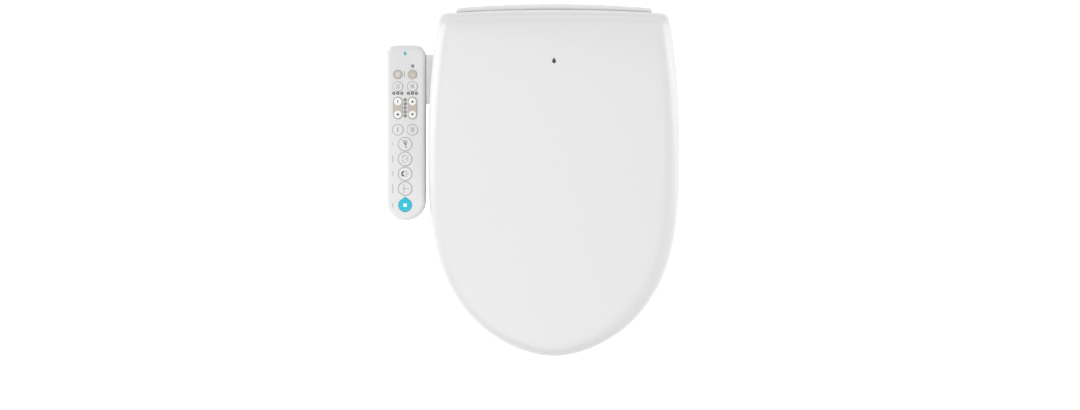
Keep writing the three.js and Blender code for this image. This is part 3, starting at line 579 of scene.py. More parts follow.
def rear_at(x):
    return BODY["rear"] - BODY["arch"] * (x / BODY["half"]) ** 2


def housing_profile(x, inset):
    """The top cover's side profile at X, anticlockwise from its rear foot, with the lid's groove."""
    rear, front = rear_at(x) - inset, BODY["front"] + inset
    groove = barrel_radius(x) + BODY["groove"]
    profile = [(rear, BODY["split_z"])]
    profile += [(rear, 60.0), (rear, 78.0)]
    profile += arc(rear - 2.5, BODY["rim_z"] - 2.5 - inset, 2.5, 0, 90, 5)
    low = math.degrees(math.asin((BODY["rim_z"] - inset - HINGE_Z) / groove))
    sweep = arc(HINGE_Y, HINGE_Z, groove, low, -149, 26)
    profile += [(sweep[0][0] + 0.5, sweep[0][1])] + sweep
    profile += arc(HINGE_Y, HINGE_Z, EYE_RADIUS, -90, 100, 30)
    profile += [(4, 105.2), (-14, 99.2), (-40, 94.4), (-60, 89.9), (-68, 87.6), (-75, 85.1), (-81, 81.8),
                (-85.6, 77.6), (-89, 72.4), (-91.6, 66.8), (front, 61.0), (front, BODY["split_z"])]
    return profile


def make_housing():
    ends, middle = (147, 146.6, 145.6, 144), (120, 95, 70, 45, 20)
    stations = [-x for x in ends + middle] + [0] + [x for x in reversed(ends + middle)]
    rings = []
    for x in stations:
        from_end = BODY["half"] - abs(x)
        inset = 0.0 if from_end >= 3 else 3 - math.sqrt(max(0.0, 9 - (3 - from_end) ** 2))
        rings.append([(x, y, z) for y, z in housing_profile(x, inset * 0.8)])
    room = [(BODY["front"] + 2.5, 37), (46.0, 37), (46.0, 66), (-2, 66), (-12, 78), (-17, 93), (-67, 83.5),
            (-78, 79), (-86, 71.5), (-90.3, 62)]
    bores = [turned([(0, a), (9.3, a), (9.3, b), (0, b)], "x", (0, HINGE_Y, HINGE_Z), 40)
             for a, b in ((-148, -96), (96, 148))]
    shell = cut(capped(rings), across(room, -144.5, 144.5), *bores)
    # The cover and base take the shell's white painted lighter, as painted light against the lid's shade on
    # the rear strip.
    finish_cut(shell, "housing_cover", "housing", HOUSING_WHITE_PAINTED_LIGHTER, ("top_cover",))
    refined("base_case", "housing", HOUSING_WHITE_PAINTED_LIGHTER, bevel=1.0, segments=3, name="housing_base")


# ---- control arm -------------------------------------------------------------------------------

def arm_outline(inset=0.0):
    left, right = ARM["left"] + inset, ARM["right"] - inset
    rear, front = ARM["rear"] - inset, ARM["front"] + inset
    end, corner, middle = (right - left) / 2, ARM["corner"] - inset, (left + right) / 2
    outline = arc(middle, front + end, end, 180, 360, 40)
    outline += arc(right - corner, rear - corner, corner, 0, 90, 14)
    outline += arc(left + corner, rear - corner, corner, 90, 180, 14)
    return outline


def key_outline(key, grow=0.0, steps=12):
    """A key's cap seen from above: round, long and round-ended, or a drop pointing to the rear."""
    _, side, y, radius, kind = key
    x, wide = KEY_X + KEY_COLUMN * side, radius + grow
    if kind == "rocker":
        half = ROCKER_LONG / 2 - radius
        return arc(x, y - half, wide, 180, 360, steps * 2) + arc(x, y + half, wide, 0, 180, steps * 2)
    if kind == "drop":
        tip = (x, y + 12.6 + grow)
        right, left = arc(x, y, wide, -220, 40, steps * 4)[-1], arc(x, y, wide, -220, 40, steps * 4)[0]
        flank = [tuple(mix(a, b, t) for a, b in zip(right, tip)) for t in (0.35, 0.7, 0.9)]
        back = [tuple(mix(a, b, t) for a, b in zip(left, tip)) for t in (0.9, 0.7, 0.35)]
        crest = [(tip[0] + 0.9, tip[1] - 1.1), (tip[0], tip[1] - 0.5), (tip[0] - 0.9, tip[1] - 1.1)]
        return arc(x, y, wide, -220, 40, steps * 4) + flank + crest + back
    return arc(x, y, wide, 0, 360, steps * 4)[:-1]


KEYS = (
    ("lid_heat_key", -1, -50.6, 6.7, "round"), ("seat_heat_key", 1, -50.6, 6.7, "round"),
    ("water_heat_key", -1, -68.6, 7.5, "round"), ("air_heat_key", 1, -68.6, 7.5, "round"),
    ("nozzle_rocker", -1, -101.0, 6.7, "rocker"), ("pressure_rocker", 1, -101.0, 6.7, "rocker"),
    ("massage_key", -1, -133.7, 8.2, "round"), ("clean_key", 1, -133.7, 8.2, "round"),
    ("dryer_key", 0, -155.4, 10.4, "round"), ("front_wash_key", 0, -177.7, 10.4, "round"),
    ("rear_wash_key", 0, -200.0, 10.4, "round"), ("auto_key", 0, -222.3, 10.4, "round"),
    ("stop_key", 0, -247.2, 10.0, "drop"),
)
LIGHTS = [(11.3, -37.8)]
LIGHTS += [(side * 11 + step, -78.9) for side in (-1, 1) for step in (-6, 0, 6)]
LIGHTS += [(0, -88.8 - 6 * k) for k in range(5)]


def make_arm():
    top, split = ARM["top_z"], ARM["split_z"]
    cavity = upright(arm_outline(2.5), split - 1, top - 2.6)
    holes = [upright(key_outline(key, CUT_GROWTH), top - 9, top + 1) for key in KEYS]
    holes += [turned([(0, top - 9), (2.4, top - 9), (2.4, top + 1), (0, top + 1)],
                     "z", (KEY_X + dx, y, 0), 28) for dx, y in LIGHTS]
    shell = cut(dome(arm_outline(), split, top, ARM["edge"], steps=9, foot=0.3), cavity, together(*holes))
    finish_cut(shell, "arm_cover", "housing", ARM_WHITE, ("arm_top_case",))
    tray = cut(dome_under(arm_outline(), ARM["bottom_z"], split - 0.3, 4.0),
               upright(arm_outline(2.5), ARM["bottom_z"] + 2.5, split + 1),
               block(-198, -187, -70, -55, 24, 34))
    finish_cut(tray, "arm_tray", "housing", ARM_WHITE, ("arm_bottom_case",))
    lenses, bezels = [], []
    for dx, y in LIGHTS:
        lens = rounded_steps(1.05, top - 12.5, top + 0.12, 0.35)
        lenses.append(turned(lens, "z", (KEY_X + dx, y, 0), 24))
        bezels.append(ring_of(KEY_X + dx, y, 1.12, 2.3, top - 1.2, top + 0.08, 28))
    x = KEY_X
    rails = [block(x - 18, x + 18, -80.3, -77.5, 49.5, 51.5),
             block(x - 1.4, x + 1.4, -114, -36.4, 49.6, 51.4),
             block(x - 1.2, x + 12.7, -39.2, -36.4, 49.5, 51.5)]
    put("light_lenses", "housing", "clear_plastic", *together(*rails, *lenses), LENS, ("light_guide",))
    put("light_bezels", "housing", "dark_nylon", *together(*bezels), INK)


def dome_under(outline, low, high, edge, steps=6):
    """A plan outline stood up from low to high, with its lower edge rounded."""
    rings = []
    for k in range(steps + 1):
        angle = math.pi / 2 * k / steps
        rings.append([(x, y, low + edge * (1 - math.cos(angle)))
                      for x, y in offset(outline, edge * (1 - math.sin(angle)))])
    rings.append([(x, y, high) for x, y in outline])
    return capped(rings)


def key_face(key):
    """The raised key face: its height and middle."""
    return ARM["top_z"] + KEY_PROUD, KEY_X + KEY_COLUMN * key[1], key[2]


def wave(x, y, length, swing, turns, steps=18, lean=0.0):
    """A wavy line running down from (x, y)."""
    points = []
    for k in range(steps + 1):
        t = k / steps
        points.append((x + lean * t + swing * math.sin(2 * math.pi * turns * t), y - length * t))
    return points


def turned_marks(marks):
    """The same marks turned a quarter, to be read from the arm's left."""
    return [([(-y, x) for x, y in points], width, ink) for points, width, ink in marks]


def marks_of(key):
    """Line marks on a key, relative to its middle: a list of (points, width, ink)."""
    name = key[0]
    if name == "lid_heat_key":
        return [(wave(dx, 3.0, 6.0, 0.45, 1.0), 0.6, 1) for dx in (-2.0, 0.0, 2.0)]
    if name == "seat_heat_key":
        return [([(0.15, -0.5), (0.45, -0.5)], 1.4, 1)]
    if name == "water_heat_key":
        return [(wave(dx, 3.6, 7.2, 0.35, 3.0, 24), 0.6, 2) for dx in (-1.6, 1.6)]
    if name == "air_heat_key":
        return [(wave(dx, 2.6, 5.2, 0.3, 2.0, 24), 0.6, 2) for dx in (-1.9, 0.0, 1.9)]
    if name == "massage_key":
        return [(wave(0.0, 3.4, 6.8, 0.6, 3.0, 30), 0.8, 2)]
    if name == "clean_key":
        return [(wave(dx, 3.4, 6.8, 0.3, 2.0, 24), 0.65, 2) for dx in (-2.0, 0.0, 2.0)]
    if name == "dryer_key":
        rays = [([(dx, 5.6), (dx * 0.55 + 0.4, 1.2), (1.2, -1.6)], 0.8, 2) for dx in (-3.6, -1.4, 0.8, 3.0)]
        return rays + [([(0.9, -1.2), (1.3, -6.0)], 0.9, 2), ([(2.2, -3.4), (2.2, -4.2)], 0.7, 2)]
    if name == "front_wash_key":
        arcs = [(arc(side * 2.5, 1.2, 2.6, 25 if side > 0 else 60, 120 if side > 0 else 155, 12), 0.8, 2)
                for side in (-1, 1)]
        cheeks = [([(side * 4.8, 2.2), (side * 4.9, -0.8)], 0.7, 2) for side in (-1, 1)]
        sprays = [([(dx * 0.3, -1.0), (dx, -5.2)], 0.5, 2) for dx in (-3.4, 0.0, 3.4)]
        return turned_marks(arcs + cheeks + sprays)
    if name == "rear_wash_key":
        crescent = [(arc(0, 1.4, 3.3, 15, 165, 24), 2.2, 3)]
        drops = [([(dx, -0.9), (dx * 1.15, -2.0)], 0.9, 3) for dx in (-3.3, 3.3)]
        lines = [([(0, -1.2), (0, -6.0)], 0.4, 2), ([(-1.0, -1.8), (-1.6, -3.8)], 0.4, 2),
                 ([(1.0, -1.8), (1.6, -3.8)], 0.4, 2)]
        return turned_marks(crescent + drops + lines)
    if name == "auto_key":
        left, right = arc(-3.4, 4.9, 3.6, 200, 318, 16), arc(3.4, 4.9, 3.6, 340, 222, 16)
        stem = [([(-0.75, 2.5), (0, 0.6), (0, -6.0)], 0.6, 2), ([(0.75, 2.5), (0, 0.6)], 0.6, 2)]
        return turned_marks([(left, 0.6, 2), (right, 0.6, 2)] + stem)
    return []


def round_key(key):
    """A round key: its face, a printed ring at its rim, and the skirt and flange below."""
    top, x, y = key_face(key)
    radius, small = key[3], key[3] < 9
    tan = key[0] in ("lid_heat_key", "seat_heat_key")
    ring = 0.0 if tan else (0.45 if small else 0.75)
    inside = radius - 0.35 - ring
    foot = ARM["top_z"] - 7
    body = [(0, foot), (radius + 0.6, foot), (radius + 0.6, foot + 1.5), (radius, foot + 1.6),
            (radius, top - 0.55)]
    body += [(radius - 0.5 + 0.5 * math.cos(math.radians(a)), top - 0.5 + 0.5 * math.sin(math.radians(a)))
             for a in (0, 22, 45, 68, 90)]
    body += [(inside, top), (inside - 0.15, top + 0.06), (inside * 0.5, top + 0.1), (0, top + 0.12)]
    verts, faces = turned(body, "z", (x, y, 0), 64)
    painted_faces = []
    for face in faces:
        points = [verts[i] for i in face]
        reach = sum(math.hypot(p[0] - x, p[1] - y) for p in points) / len(points)
        high = sum(p[2] for p in points) / len(points)
        on_ring = ring > 0 and inside < reach and high > top - 0.6
        painted_faces.append((tuple(face), 1 if on_ring else 0))
    return verts, painted_faces


def make_keys():
    for key in KEYS:
        name = key[0]
        top, x, y = key_face(key)
        tan = name in ("lid_heat_key", "seat_heat_key")
        if key[4] == "round":
            shape = round_key(key)
            marks = []
            for points, width, ink in marks_of(key):
                line = [(x + px, y + py) for px, py in points]
                marks.append(painted(stroke(line, width, top - 0.1, top + 0.17), ink))
            ring = PALE if tan else (RING_PALE if key[3] < 9 else RING)
            put(name + "_cap", name, "tan_key" if tan else "pale_key", *together(shape, *marks),
                [TAN if tan else KEY_FACE, ring, INK_GREY, INK], (name,))
        elif key[4] == "rocker":
            cap = dome(key_outline(key), ARM["top_z"] - 7, top, 0.6, steps=4, crown=0.0)
            pad = [(0, top - 0.3), (5.55, top - 0.3), (5.55, top + 0.25), (5.3, top + 0.5),
                   (4.6, top + 0.58), (0, top + 0.6)]
            pads = [turned(pad, "z", (x, py, 0), 48) for py in (-91.4, -110.7)]
            high = top + 0.68
            if name == "nozzle_rocker":
                lines = [([(x, -93.2), (x, -89.6)], 1.3), ([(x, -112.6), (x, -108.8)], 1.3),
                         ([(x - 1.9, -110.7), (x + 1.9, -110.7)], 1.3)]
                signs = [stroke(points, width, top + 0.3, high) for points, width in lines]
            else:
                signs = [upright([(x - 2.3, py - s * 1.5), (x + 2.3, py - s * 1.5), (x, py + s * 2.4)][::s],
                                 top + 0.3, high) for py, s in ((-91.4, 1), (-110.7, -1))]
            put(name + "_cap", name, "tan_key", *together(painted(cap, 0), *[painted(p, 1) for p in pads],
                *[painted(s, 2) for s in signs]), [TAN, PALE, INK], (name,))
        else:
            cap = dome(key_outline(key), ARM["top_z"] - 7, top, 0.8, steps=5, crown=0.1)
            square = []
            for cx, cy, start in ((1.7, 1.7, 0), (-1.7, 1.7, 90), (-1.7, -1.7, 180), (1.7, -1.7, 270)):
                square += arc(x + cx, y + cy, 0.8, start, start + 90, 5)
            put(name + "_cap", name, "teal_key", *together(painted(cap, 0), painted(
                upright(square, top - 0.2, top + 0.22), 1)), [TEAL, PALE], (name,))


# ---- seat --------------------------------------------------------------------------------------

def seat_top_at(y):
    return mix(SEAT["front_z"], SEAT["rear_z"], smooth((y - LID["front"]) / (SEAT["rear"] - LID["front"])))


def seat_outline():
    def side(y):
        return side_at(y) - SEAT["inset"]
    corner_x, corner_y = side(SEAT["rear"]) - SEAT["corner"], SEAT["rear"] - SEAT["corner"]
    half = [(0.0, SEAT["rear"])] + arc(corner_x, corner_y, SEAT["corner"], 90, 0, 10)
    shrink = 1 - SEAT["inset"] / (LID["widest"] - LID["front"])
    for x, y in front_curve(60):
        half.append((x * (1 - SEAT["inset"] / LID["half"]), LID["widest"] + (y - LID["widest"]) * shrink))
    return mirrored(half)


def reach_at(outline, angle):
    """How far an outline lies from the hole's middle in one direction."""
    direction, middle = Vector((math.cos(angle), math.sin(angle))), Vector((0.0, SEAT["hole_y"]))
    for k, point in enumerate(outline):
        a, b = Vector(point) - middle, Vector(outline[(k + 1) % len(outline)]) - middle
        side_a, side_b = direction.cross(a), direction.cross(b)
        if side_a * side_b <= 0 and side_a != side_b:
            hit = a.lerp(b, side_a / (side_a - side_b))
            if hit.dot(direction) > 0:
                return hit.length
    return 0.0


def hole_reach(angle):
    power = SEAT["hole_power"]
    width, length = abs(math.cos(angle)) / SEAT["hole_half"], abs(math.sin(angle)) / SEAT["hole_length"]
    return (width ** power + length ** power) ** (-1 / power)


def seat_loop(section, rays=160):
    """A body round the seat's hole. A row is (edge, distance, height): distance in from the outer edge,
    out from the hole's, or from the line between them; height is a number or a drop below the seat's top."""
    outline = seat_outline()
    ways = []
    for k in range(rays):
        angle = 2 * math.pi * k / rays
        ways.append((angle, reach_at(outline, angle), hole_reach(angle)))
    rings = []
    for edge, distance, height in section:
        ring = []
        for angle, outer, hole in ways:
            radius = {"outer": outer - distance, "hole": hole + distance,
                      "middle": mix(outer, hole, 0.5 + distance)}[edge]
            x, y = radius * math.cos(angle), SEAT["hole_y"] + radius * math.sin(angle)
            ring.append(Vector((x, y, seat_top_at(y) - height[0] if isinstance(height, tuple) else height)))
        rings.append(ring)
    return loft(rings, around=True)


def make_seat():
    split, skin = SEAT["split_z"], SEAT["skin"]
    notch = block(-SEAT["notch_half"], SEAT["notch_half"], SEAT["notch_y"], -90, -1, SEAT["notch_z"])
    rows = [("outer", 0, split), ("outer", 0, (12,)), ("outer", 0.1, (9,)), ("outer", 0.7, (6.2,)),
            ("outer", 2.0, (3.6,)), ("outer", 4.2, (1.5,)), ("outer", 7.2, (0.35,)), ("outer", 11, (0,)),
            ("middle", -0.18, (0.1,)), ("middle", 0.0, (0.9,)), ("middle", 0.18, (2.0,)),
            ("hole", 10, (3.6,)), ("hole", 6.2, (5.1,)), ("hole", 3.4, (7.2,)), ("hole", 1.4, (10,)),
            ("hole", 0.3, (13.4,)), ("hole", 0, (17,)), ("hole", 0, split),
            ("hole", skin, split), ("hole", skin, (16,)), ("hole", 6, (9.5,)), ("hole", 10, (7.2,)),
            ("middle", 0.0, (4.4,)), ("outer", 10, (3.4,)), ("outer", 5, (5.4,)), ("outer", skin, (9.6,)),
            ("outer", skin, split)]
    finish_cut(cut(seat_loop(rows), notch), "seat_cover", "seat", SEAT_WHITE, ("seat_top",))
    floor, rim = SEAT["bottom_z"], split - 0.3
    tray = [("outer", 3, floor), ("outer", 0.9, floor + 0.9), ("outer", 0, floor + 3), ("outer", 0, rim),
            ("outer", skin, rim), ("outer", skin, floor + skin), ("hole", skin, floor + skin),
            ("hole", skin, rim), ("hole", 0, rim), ("hole", 0, floor + 3), ("hole", 0.9, floor + 0.9),
            ("hole", 3, floor)]
    finish_cut(cut(seat_loop(tray), notch), "seat_tray", "seat", SEAT_WHITE, ("seat_base",))
    refined("seat_heater", "seat", FOIL, bevel=0.1, segments=1)
    profile = arc(HINGE_Y, HINGE_Z, EYE_RADIUS, -114, 109, 40)
    profile += [(-60, 85), (-126, 58), (-126, 46), (-98, 44.5)]
    for side, word in ((-1, "left"), (1, "right")):
        low, high = sorted((side * SEAT["ear_x"], side * (SEAT["ear_x"] + SEAT["ear_wide"])))
        hole = [(0, low - 1), (4.3, low - 1), (4.3, high + 1), (0, high + 1)]
        bore = turned(hole, "x", (0, HINGE_Y, HINGE_Z), 32)
        ear = cut(across(profile, low, high, 0.6), bore)
        finish_cut(ear, f"seat_arm_{word}", "seat", SEAT_WHITE)


def buffer_shape(x, y, low, high, radius):
    """A rubber foot: a rounded pad with a shallow ring pressed into its face."""
    edge = min(1.2, (high - low) / 3)
    profile = [(0, low + 0.4), (radius * 0.45, low + 0.4), (radius * 0.55, low)]
    profile += [(radius - edge + edge * math.sin(a), low + edge - edge * math.cos(a))
                for a in (0, 0.4, 0.8, 1.2, math.pi / 2)]
    profile += [(radius, high), (0, high)]
    return turned(profile, "z", (x, y, 0), 40)


def make_buffers():
    for word, x, y in (("rear_left", -145, -165), ("rear_right", 145, -165), ("front_left", -72, -432),
                       ("front_right", 72, -432)):
        foot = buffer_shape(x, y, 0, SEAT["bottom_z"] - 0.05, 9)
        put(f"seat_foot_{word}", "seat", "rubber", *foot, RUBBER, (f"seat_buffer_{word}",))
    for side, word in ((-1, "left"), (1, "right")):
        x, y = side * 128, -300
        low, high = seat_top_at(y) + 0.3, lid_top(x, y) - LID["skin"] - 0.6
        put(f"lid_foot_{word}", "lid", "rubber", *buffer_shape(x, y, low, high, 7), RUBBER,
            (f"lid_buffer_{word}",))


# ---- hinges and fixing -------------------------------------------------------------------------

def bar(axis, low, high, radius, centre, edge=0.4, segments=40):
    """A round bar with eased ends."""
    profile = [(0, low), (radius - edge, low), (radius, low + edge), (radius, high - edge),
               (radius - edge, high), (0, high)]
    return turned(profile, axis, centre, segments)


def make_hinges():
    hinge = (0, HINGE_Y, HINGE_Z)
    far = SEAT["ear_x"] + 2 * SEAT["ear_wide"] + 1
    for side, owner in ((-1, "lid"), (1, "seat")):
        drum_low, drum_high = sorted((side * 97, side * 144))
        collar_low, collar_high = sorted((side * 139, side * 144))
        drum = together(bar("x", drum_low, drum_high, 8.8, hinge, 0.8, 48),
                        ring_x(hinge, 8.6, 9.0, collar_low, collar_high))
        put(f"{owner}_damper_drum", "housing", "dark_nylon", *drum, NYLON, (f"{owner}_damper",))
        low, high = sorted((side * 144.3, side * far))
        flat = bar("x", low, high, 4.0, hinge, 0.6, 36)
        cap_low, cap_high = sorted((side * (far - 1.2), side * far))
        pin = together(flat, ring_x(hinge, 3.6, 4.2, cap_low, cap_high))
        put(f"{owner}_damper_pin", owner, "steel", *pin, STEEL, (f"{owner}_damper_shaft",))


def ring_x(centre, inner, outer, low, high, segments=48):
    """A ring about an axis along X."""
    rings = []
    for radius, x in ((inner, low), (outer, low), (outer, high), (inner, high)):
        circle = arc(0, 0, radius, 0, 360, segments)[:-1]
        rings.append([(x, centre[1] + a, centre[2] + b) for a, b in circle])
    return loft(rings, around=True)


def thread(x, low, high, radius, pitch=1.25, depth=0.45, segments=24):
    """A screw thread's outline as stacked ridges, closed at both ends."""
    profile = [(0, low), (radius - depth - 0.4, low)]
    z = low + 0.5
    while z < high - pitch:
        profile += [(radius - depth, z), (radius, z + pitch * 0.45), (radius, z + pitch * 0.55)]
        z += pitch
    profile += [(radius - depth, high), (0, high)]
    return turned(profile, "z", (x, 0, 0), segments)


def make_fixing():
    for side, word in ((-1, "left"), (1, "right")):
        x = side * 70
        head = bar("z", 4.3, 7.4, 8.5, (x, 0, 0), 0.7, 48)
        shank = bar("z", -8, 4.6, 3.9, (x, 0, 0), 0.2, 32)
        bolt = together(thread(x, -62, -7.9, 3.9), shank, head)
        put(f"fixing_bolt_{word}", "mount", "steel", *bolt, STEEL, (f"bolt_{word}",))
        cone = [(4.25, -36), (8.4, -36), (8.95, -35.6), (9.3, -34.6), (12.7, -19.4), (12.7, -18.6),
                (12.2, -18), (4.25, -18)]
        put(f"sealing_cone_{word}", "mount", "rubber", *hollow(x, cone), RUBBER, (f"rubber_cone_{word}",))
        hub = [(4.25, -50), (8.4, -50), (9.0, -49.4), (10.9, -37.1), (10.4, -36.35), (4.25, -36.35)]
        wing = []
        for way in (-1, 1):
            plan = [(way * a, z) for a, z in (
                (7.5, -43.0), (16.5, -41.9), (18.4, -42.8), (19.0, -45.0), (18.6, -51.4),
                (17.2, -53.6), (14.8, -54.0), (10.5, -51.4), (7.5, -49.6))]
            rings = []
            for y, grow in ((-1.8, 0.75), (-1.1, 0.0), (1.1, 0.0), (1.8, 0.75)):
                middle = (way * 13, -47.5)
                rings.append([(x + mix(a, middle[0], grow / 9), y, mix(b, middle[1], grow / 9))
                              for a, b in plan])
            wing.append(capped(rings))
        put(f"wing_nut_body_{word}", "mount", "dark_nylon", *together(hollow(x, hub), *wing), NYLON,
            (f"wing_nut_{word}",))
    refined("mounting_plate", "mount", NYLON, bevel=0.6, segments=3)


def hollow(x, profile, y=0.0, segments=44):
    """A ring-shaped turned body from its closed section of (radius, height)."""
    rings = []
    for radius, z in profile:
        rings.append([(x + a, y + b, z) for a, b in arc(0, 0, radius, 0, 360, segments)[:-1]])
    return loft(rings, around=True)


# ---- working parts -----------------------------------------------------------------------------

def make_fittings():
    inlet = [(4.1, -18), (6.2, -18), (6.95, -17.4), (6.95, -16.2), (6.5, -15.6), (6.95, -15.0), (6.95, -13.8),
             (6.5, -13.2), (6.95, -12.6), (6.95, -11.4), (6.5, -10.8), (6.95, -10.2), (6.95, -4.2),
             (6.95, -3.9), (6.95, 7.2), (6.6, 7.5), (4.1, 7.5)]
    nut = hexagon(-152, -5, 9.9, -4, 1.65, 7.0)
    union = together(hollow(-152, inlet, -5), nut)
    put("inlet_union", "housing", "steel", *union, STEEL, ("inlet_fitting",))
    gland = [(3.1, -10), (4.9, -10), (5.4, -9.5), (5.4, -8.6), (4.6, -8.3), (4.6, -7.5), (5.4, -7.2),
             (5.4, -6.3), (4.6, -6.0), (4.6, -5.2), (5.4, -4.9), (6.95, -3.9), (6.95, 7.5), (3.1, 7.5)]
    collar = hexagon(152, 8, 9.9, -4, 1.65, 7.0)
    sleeve = together(hollow(152, gland, 8), collar)
    put("cord_gland_body", "housing", "rubber", *sleeve, RUBBER, ("cord_gland",))


def hexagon(x, y, radius, low, high, bore, edge=0.7):
    """A hexagonal nut with broken corners and a round bore."""
    rings = []
    for grow, z, round_bore in ((-edge, low, False), (0.0, low + edge, False), (0.0, high - edge, False),
                                (-edge, high, False), (0.0, high, True), (0.0, low, True)):
        ring = []
        for k in range(36):
            angle = 2 * math.pi * k / 36
            flat = radius * math.cos(math.pi / 6) / math.cos((angle % (math.pi / 3)) - math.pi / 6)
            reach = bore if round_bore else min(flat, radius - 0.25) + grow
            ring.append((x + reach * math.cos(angle), y + reach * math.sin(angle), z))
        rings.append(ring)
    return loft(rings, around=True)


def sloped(shape, x):
    """Puts a shape drawn along +Y onto a nozzle's sloping axis."""
    turn = Matrix.Rotation(NOZZLE_TILT, 4, "X")
    shift = Vector((x, NOZZLE_FOOT_Y, NOZZLE_FOOT_Z))
    return [turn @ Vector(v) + shift for v in shape[0]], shape[1]


def make_nozzles():
    pitch, root, crest = math.pi, 5.9, 7.9
    for side, word, holes in ((-1, "rear_wash", ((-1.6, 6), (1.6, 6), (0, 9))),
                              (1, "front_wash", ((-1.6, 5), (1.6, 5), (-1.6, 9), (1.6, 9)))):
        x, nozzle = side * 11, f"{word}_nozzle"
        tube = []
        for y, radius in ((0.0, 3.0), (0.25, 4.0), (0.9, 4.7), (2.0, 5.0), (13.4, 5.0), (13.6, 4.75),
                          (14.4, 4.75), (14.6, 5.0), (91.6, 5.0), (92.0, 4.6)):
            tube.append([(a, y, b) for a, b in arc(0, 0, radius, 0, 360, 40)[:-1]])
        sprays = together(*[bar("z", 1, 8, 0.7, (hx, hy, 0), 0.05, 16) for hx, hy in holes])
        body = cut(sloped(capped(tube), x), sloped(sprays, x))
        finish_cut(body, f"{word}_tube", nozzle, PALE, (nozzle,))
        profile = [(24.0, 3.5), (88.0, 3.5), (88.0, root)]
        at = 88.0 - pitch / 2
        while at > 25:
            profile += [(at + 1.016, root), (at + 0.296, crest), (at - 0.296, crest), (at - 1.016, root)]
            at -= pitch
        profile.append((24.0, root))
        put(f"{word}_rack", nozzle, "pale_key", *sloped(across(profile, -2.4, 2.4), x), PALE)
        refined(f"{word}_pinion", f"{word}_pinion", ACETAL, bevel=0.12, segments=1)
        low, high = sorted((side * 5.9, side * 24))
        near = low if side > 0 else high
        drum = bar("x", low, high, 9, (0, 28, 13), 0.6, 56)
        boss_low, boss_high = sorted((near, near + side * 1.4))
        plate = bar("x", boss_low, boss_high, 9.02, (0, 28, 13), 0.2, 56)
        stepper = sloped(together(drum, plate), x)
        put(f"{word}_stepper", "housing", "steel", *stepper, STEEL, (f"{word}_motor",))
    refined("nozzle_cradle", "housing", NYLON, bevel=0.35)


def make_water_and_air():
    refined("inlet_valve", "housing", NYLON, bevel=0.7, segments=3)
    refined("heater_tank", "housing", MILKY, bevel=1.2, segments=4, sharp=30)
    refined("water_hose", "housing", RUBBER, bevel=0.05, segments=1, sharp=70)
    refined("fan_casing", "housing", NYLON, bevel=0.5, segments=3)
    refined("fan_impeller", "fan_impeller", PALE, bevel=0.2)
    centre = (0, -52, 34)
    motor = together(bar("x", 81.05, 97.9, 11.9, centre, 1.0, 56), ring_x(centre, 11.6, 12.0, 84, 86, 56),
                     bar("x", 97.5, 98.0, 4.0, centre, 0.2, 32))
    put("fan_motor_drum", "housing", "steel", *motor, STEEL, ("fan_motor",))
    refined("dryer_flap", "dryer_flap", SHELL, bevel=0.35, segments=3)


def parts_on_board(places, base):
    """Plain rectangular components standing on a board: (x, y, wide, long, high)."""
    shapes = []
    for x, y, wide, long, high in places:
        outline = [(x - wide / 2, y - long / 2), (x + wide / 2, y - long / 2),
                   (x + wide / 2, y + long / 2), (x - wide / 2, y + long / 2)]
        ring = [[(px, py, base) for px, py in outline], [(px, py, base + high - 0.3) for px, py in outline],
                [(mix(x, px, 0.94), mix(y, py, 0.94), base + high) for px, py in outline]]
        shapes.append(capped(ring))
    return together(*shapes)


def make_boards():
    refined("main_board", "housing", BOARD, bevel=0.15, segments=1)
    places = [(100, 0, 14, 14, 2.4), (122, 2, 12, 20, 9), (104, 26, 22, 10, 5),
              (128, 30, 10, 10, 12), (96, -12, 8, 5, 3), (112, -12, 10, 5, 3)]
    main = parts_on_board(places, 47.65)
    put("main_board_parts", "housing", "dark_nylon", *main, NYLON)
    refined("control_board", "housing", BOARD, bevel=0.15, segments=1)
    switches = []
    for key in KEYS:
        for dy in ((-9.7, 9.7) if key[4] == "rocker" else (0,)):
            x, y = KEY_X + KEY_COLUMN * key[1], key[2] + dy
            switches.append(parts_on_board([(x, y, 6, 6, 2.2)], 46.05))
            switches.append(bar("z", 48.2, 52.0, 1.7, (x, y, 0), 0.2, 20))
    put("key_switches", "housing", "dark_nylon", *together(*switches), NYLON)


def make_small_parts():
    refined("carbon_filter", "carbon_filter", CARBON, bevel=0.6, segments=3)
    refined("release_button", "release_button", SHELL, bevel=1.0, segments=4)
    wall = -BODY["wing"]
    head = [(0, wall - 2.6), (8.2, wall - 2.6), (8.8, wall - 2.3), (9.0, wall - 1.7),
            (9.0, wall - 0.3), (0, wall - 0.3)]
    neck = bar("x", wall - 0.4, wall + 9, 5.9, (0, 18, 22), 0.5, 40)
    slot = block(wall - 4, wall - 1.4, 11, 25, 21, 23)
    plug = cut(turned(head, "x", (0, 18, 22), 56), slot)
    finish_cut(plug, "drain_plug_head", "housing", NYLON, ("drain_plug",))
    put("drain_plug_neck", "housing", "dark_nylon", *neck, NYLON)


def make_bridge():
    """The flat cover over the bridge between the arm and the lid's edge."""
    left, rear, front = -192.5, ARM["bridge_rear"], ARM["bridge_front"]
    plan = []
    for k in range(9):
        y = mix(front, rear, k / 8)
        plan.append((-side_at(y) - 0.5, y))
    plan += [(left, rear), (left, front)]
    # The bridge takes the arm's white, lighter than the shell's white, partly as painted light against the
    # shade between the arm and the lid.
    put("bridge_cover", "housing", "white_shell", *dome(plan, 44, 57.6, 0.5, steps=3), ARM_WHITE)


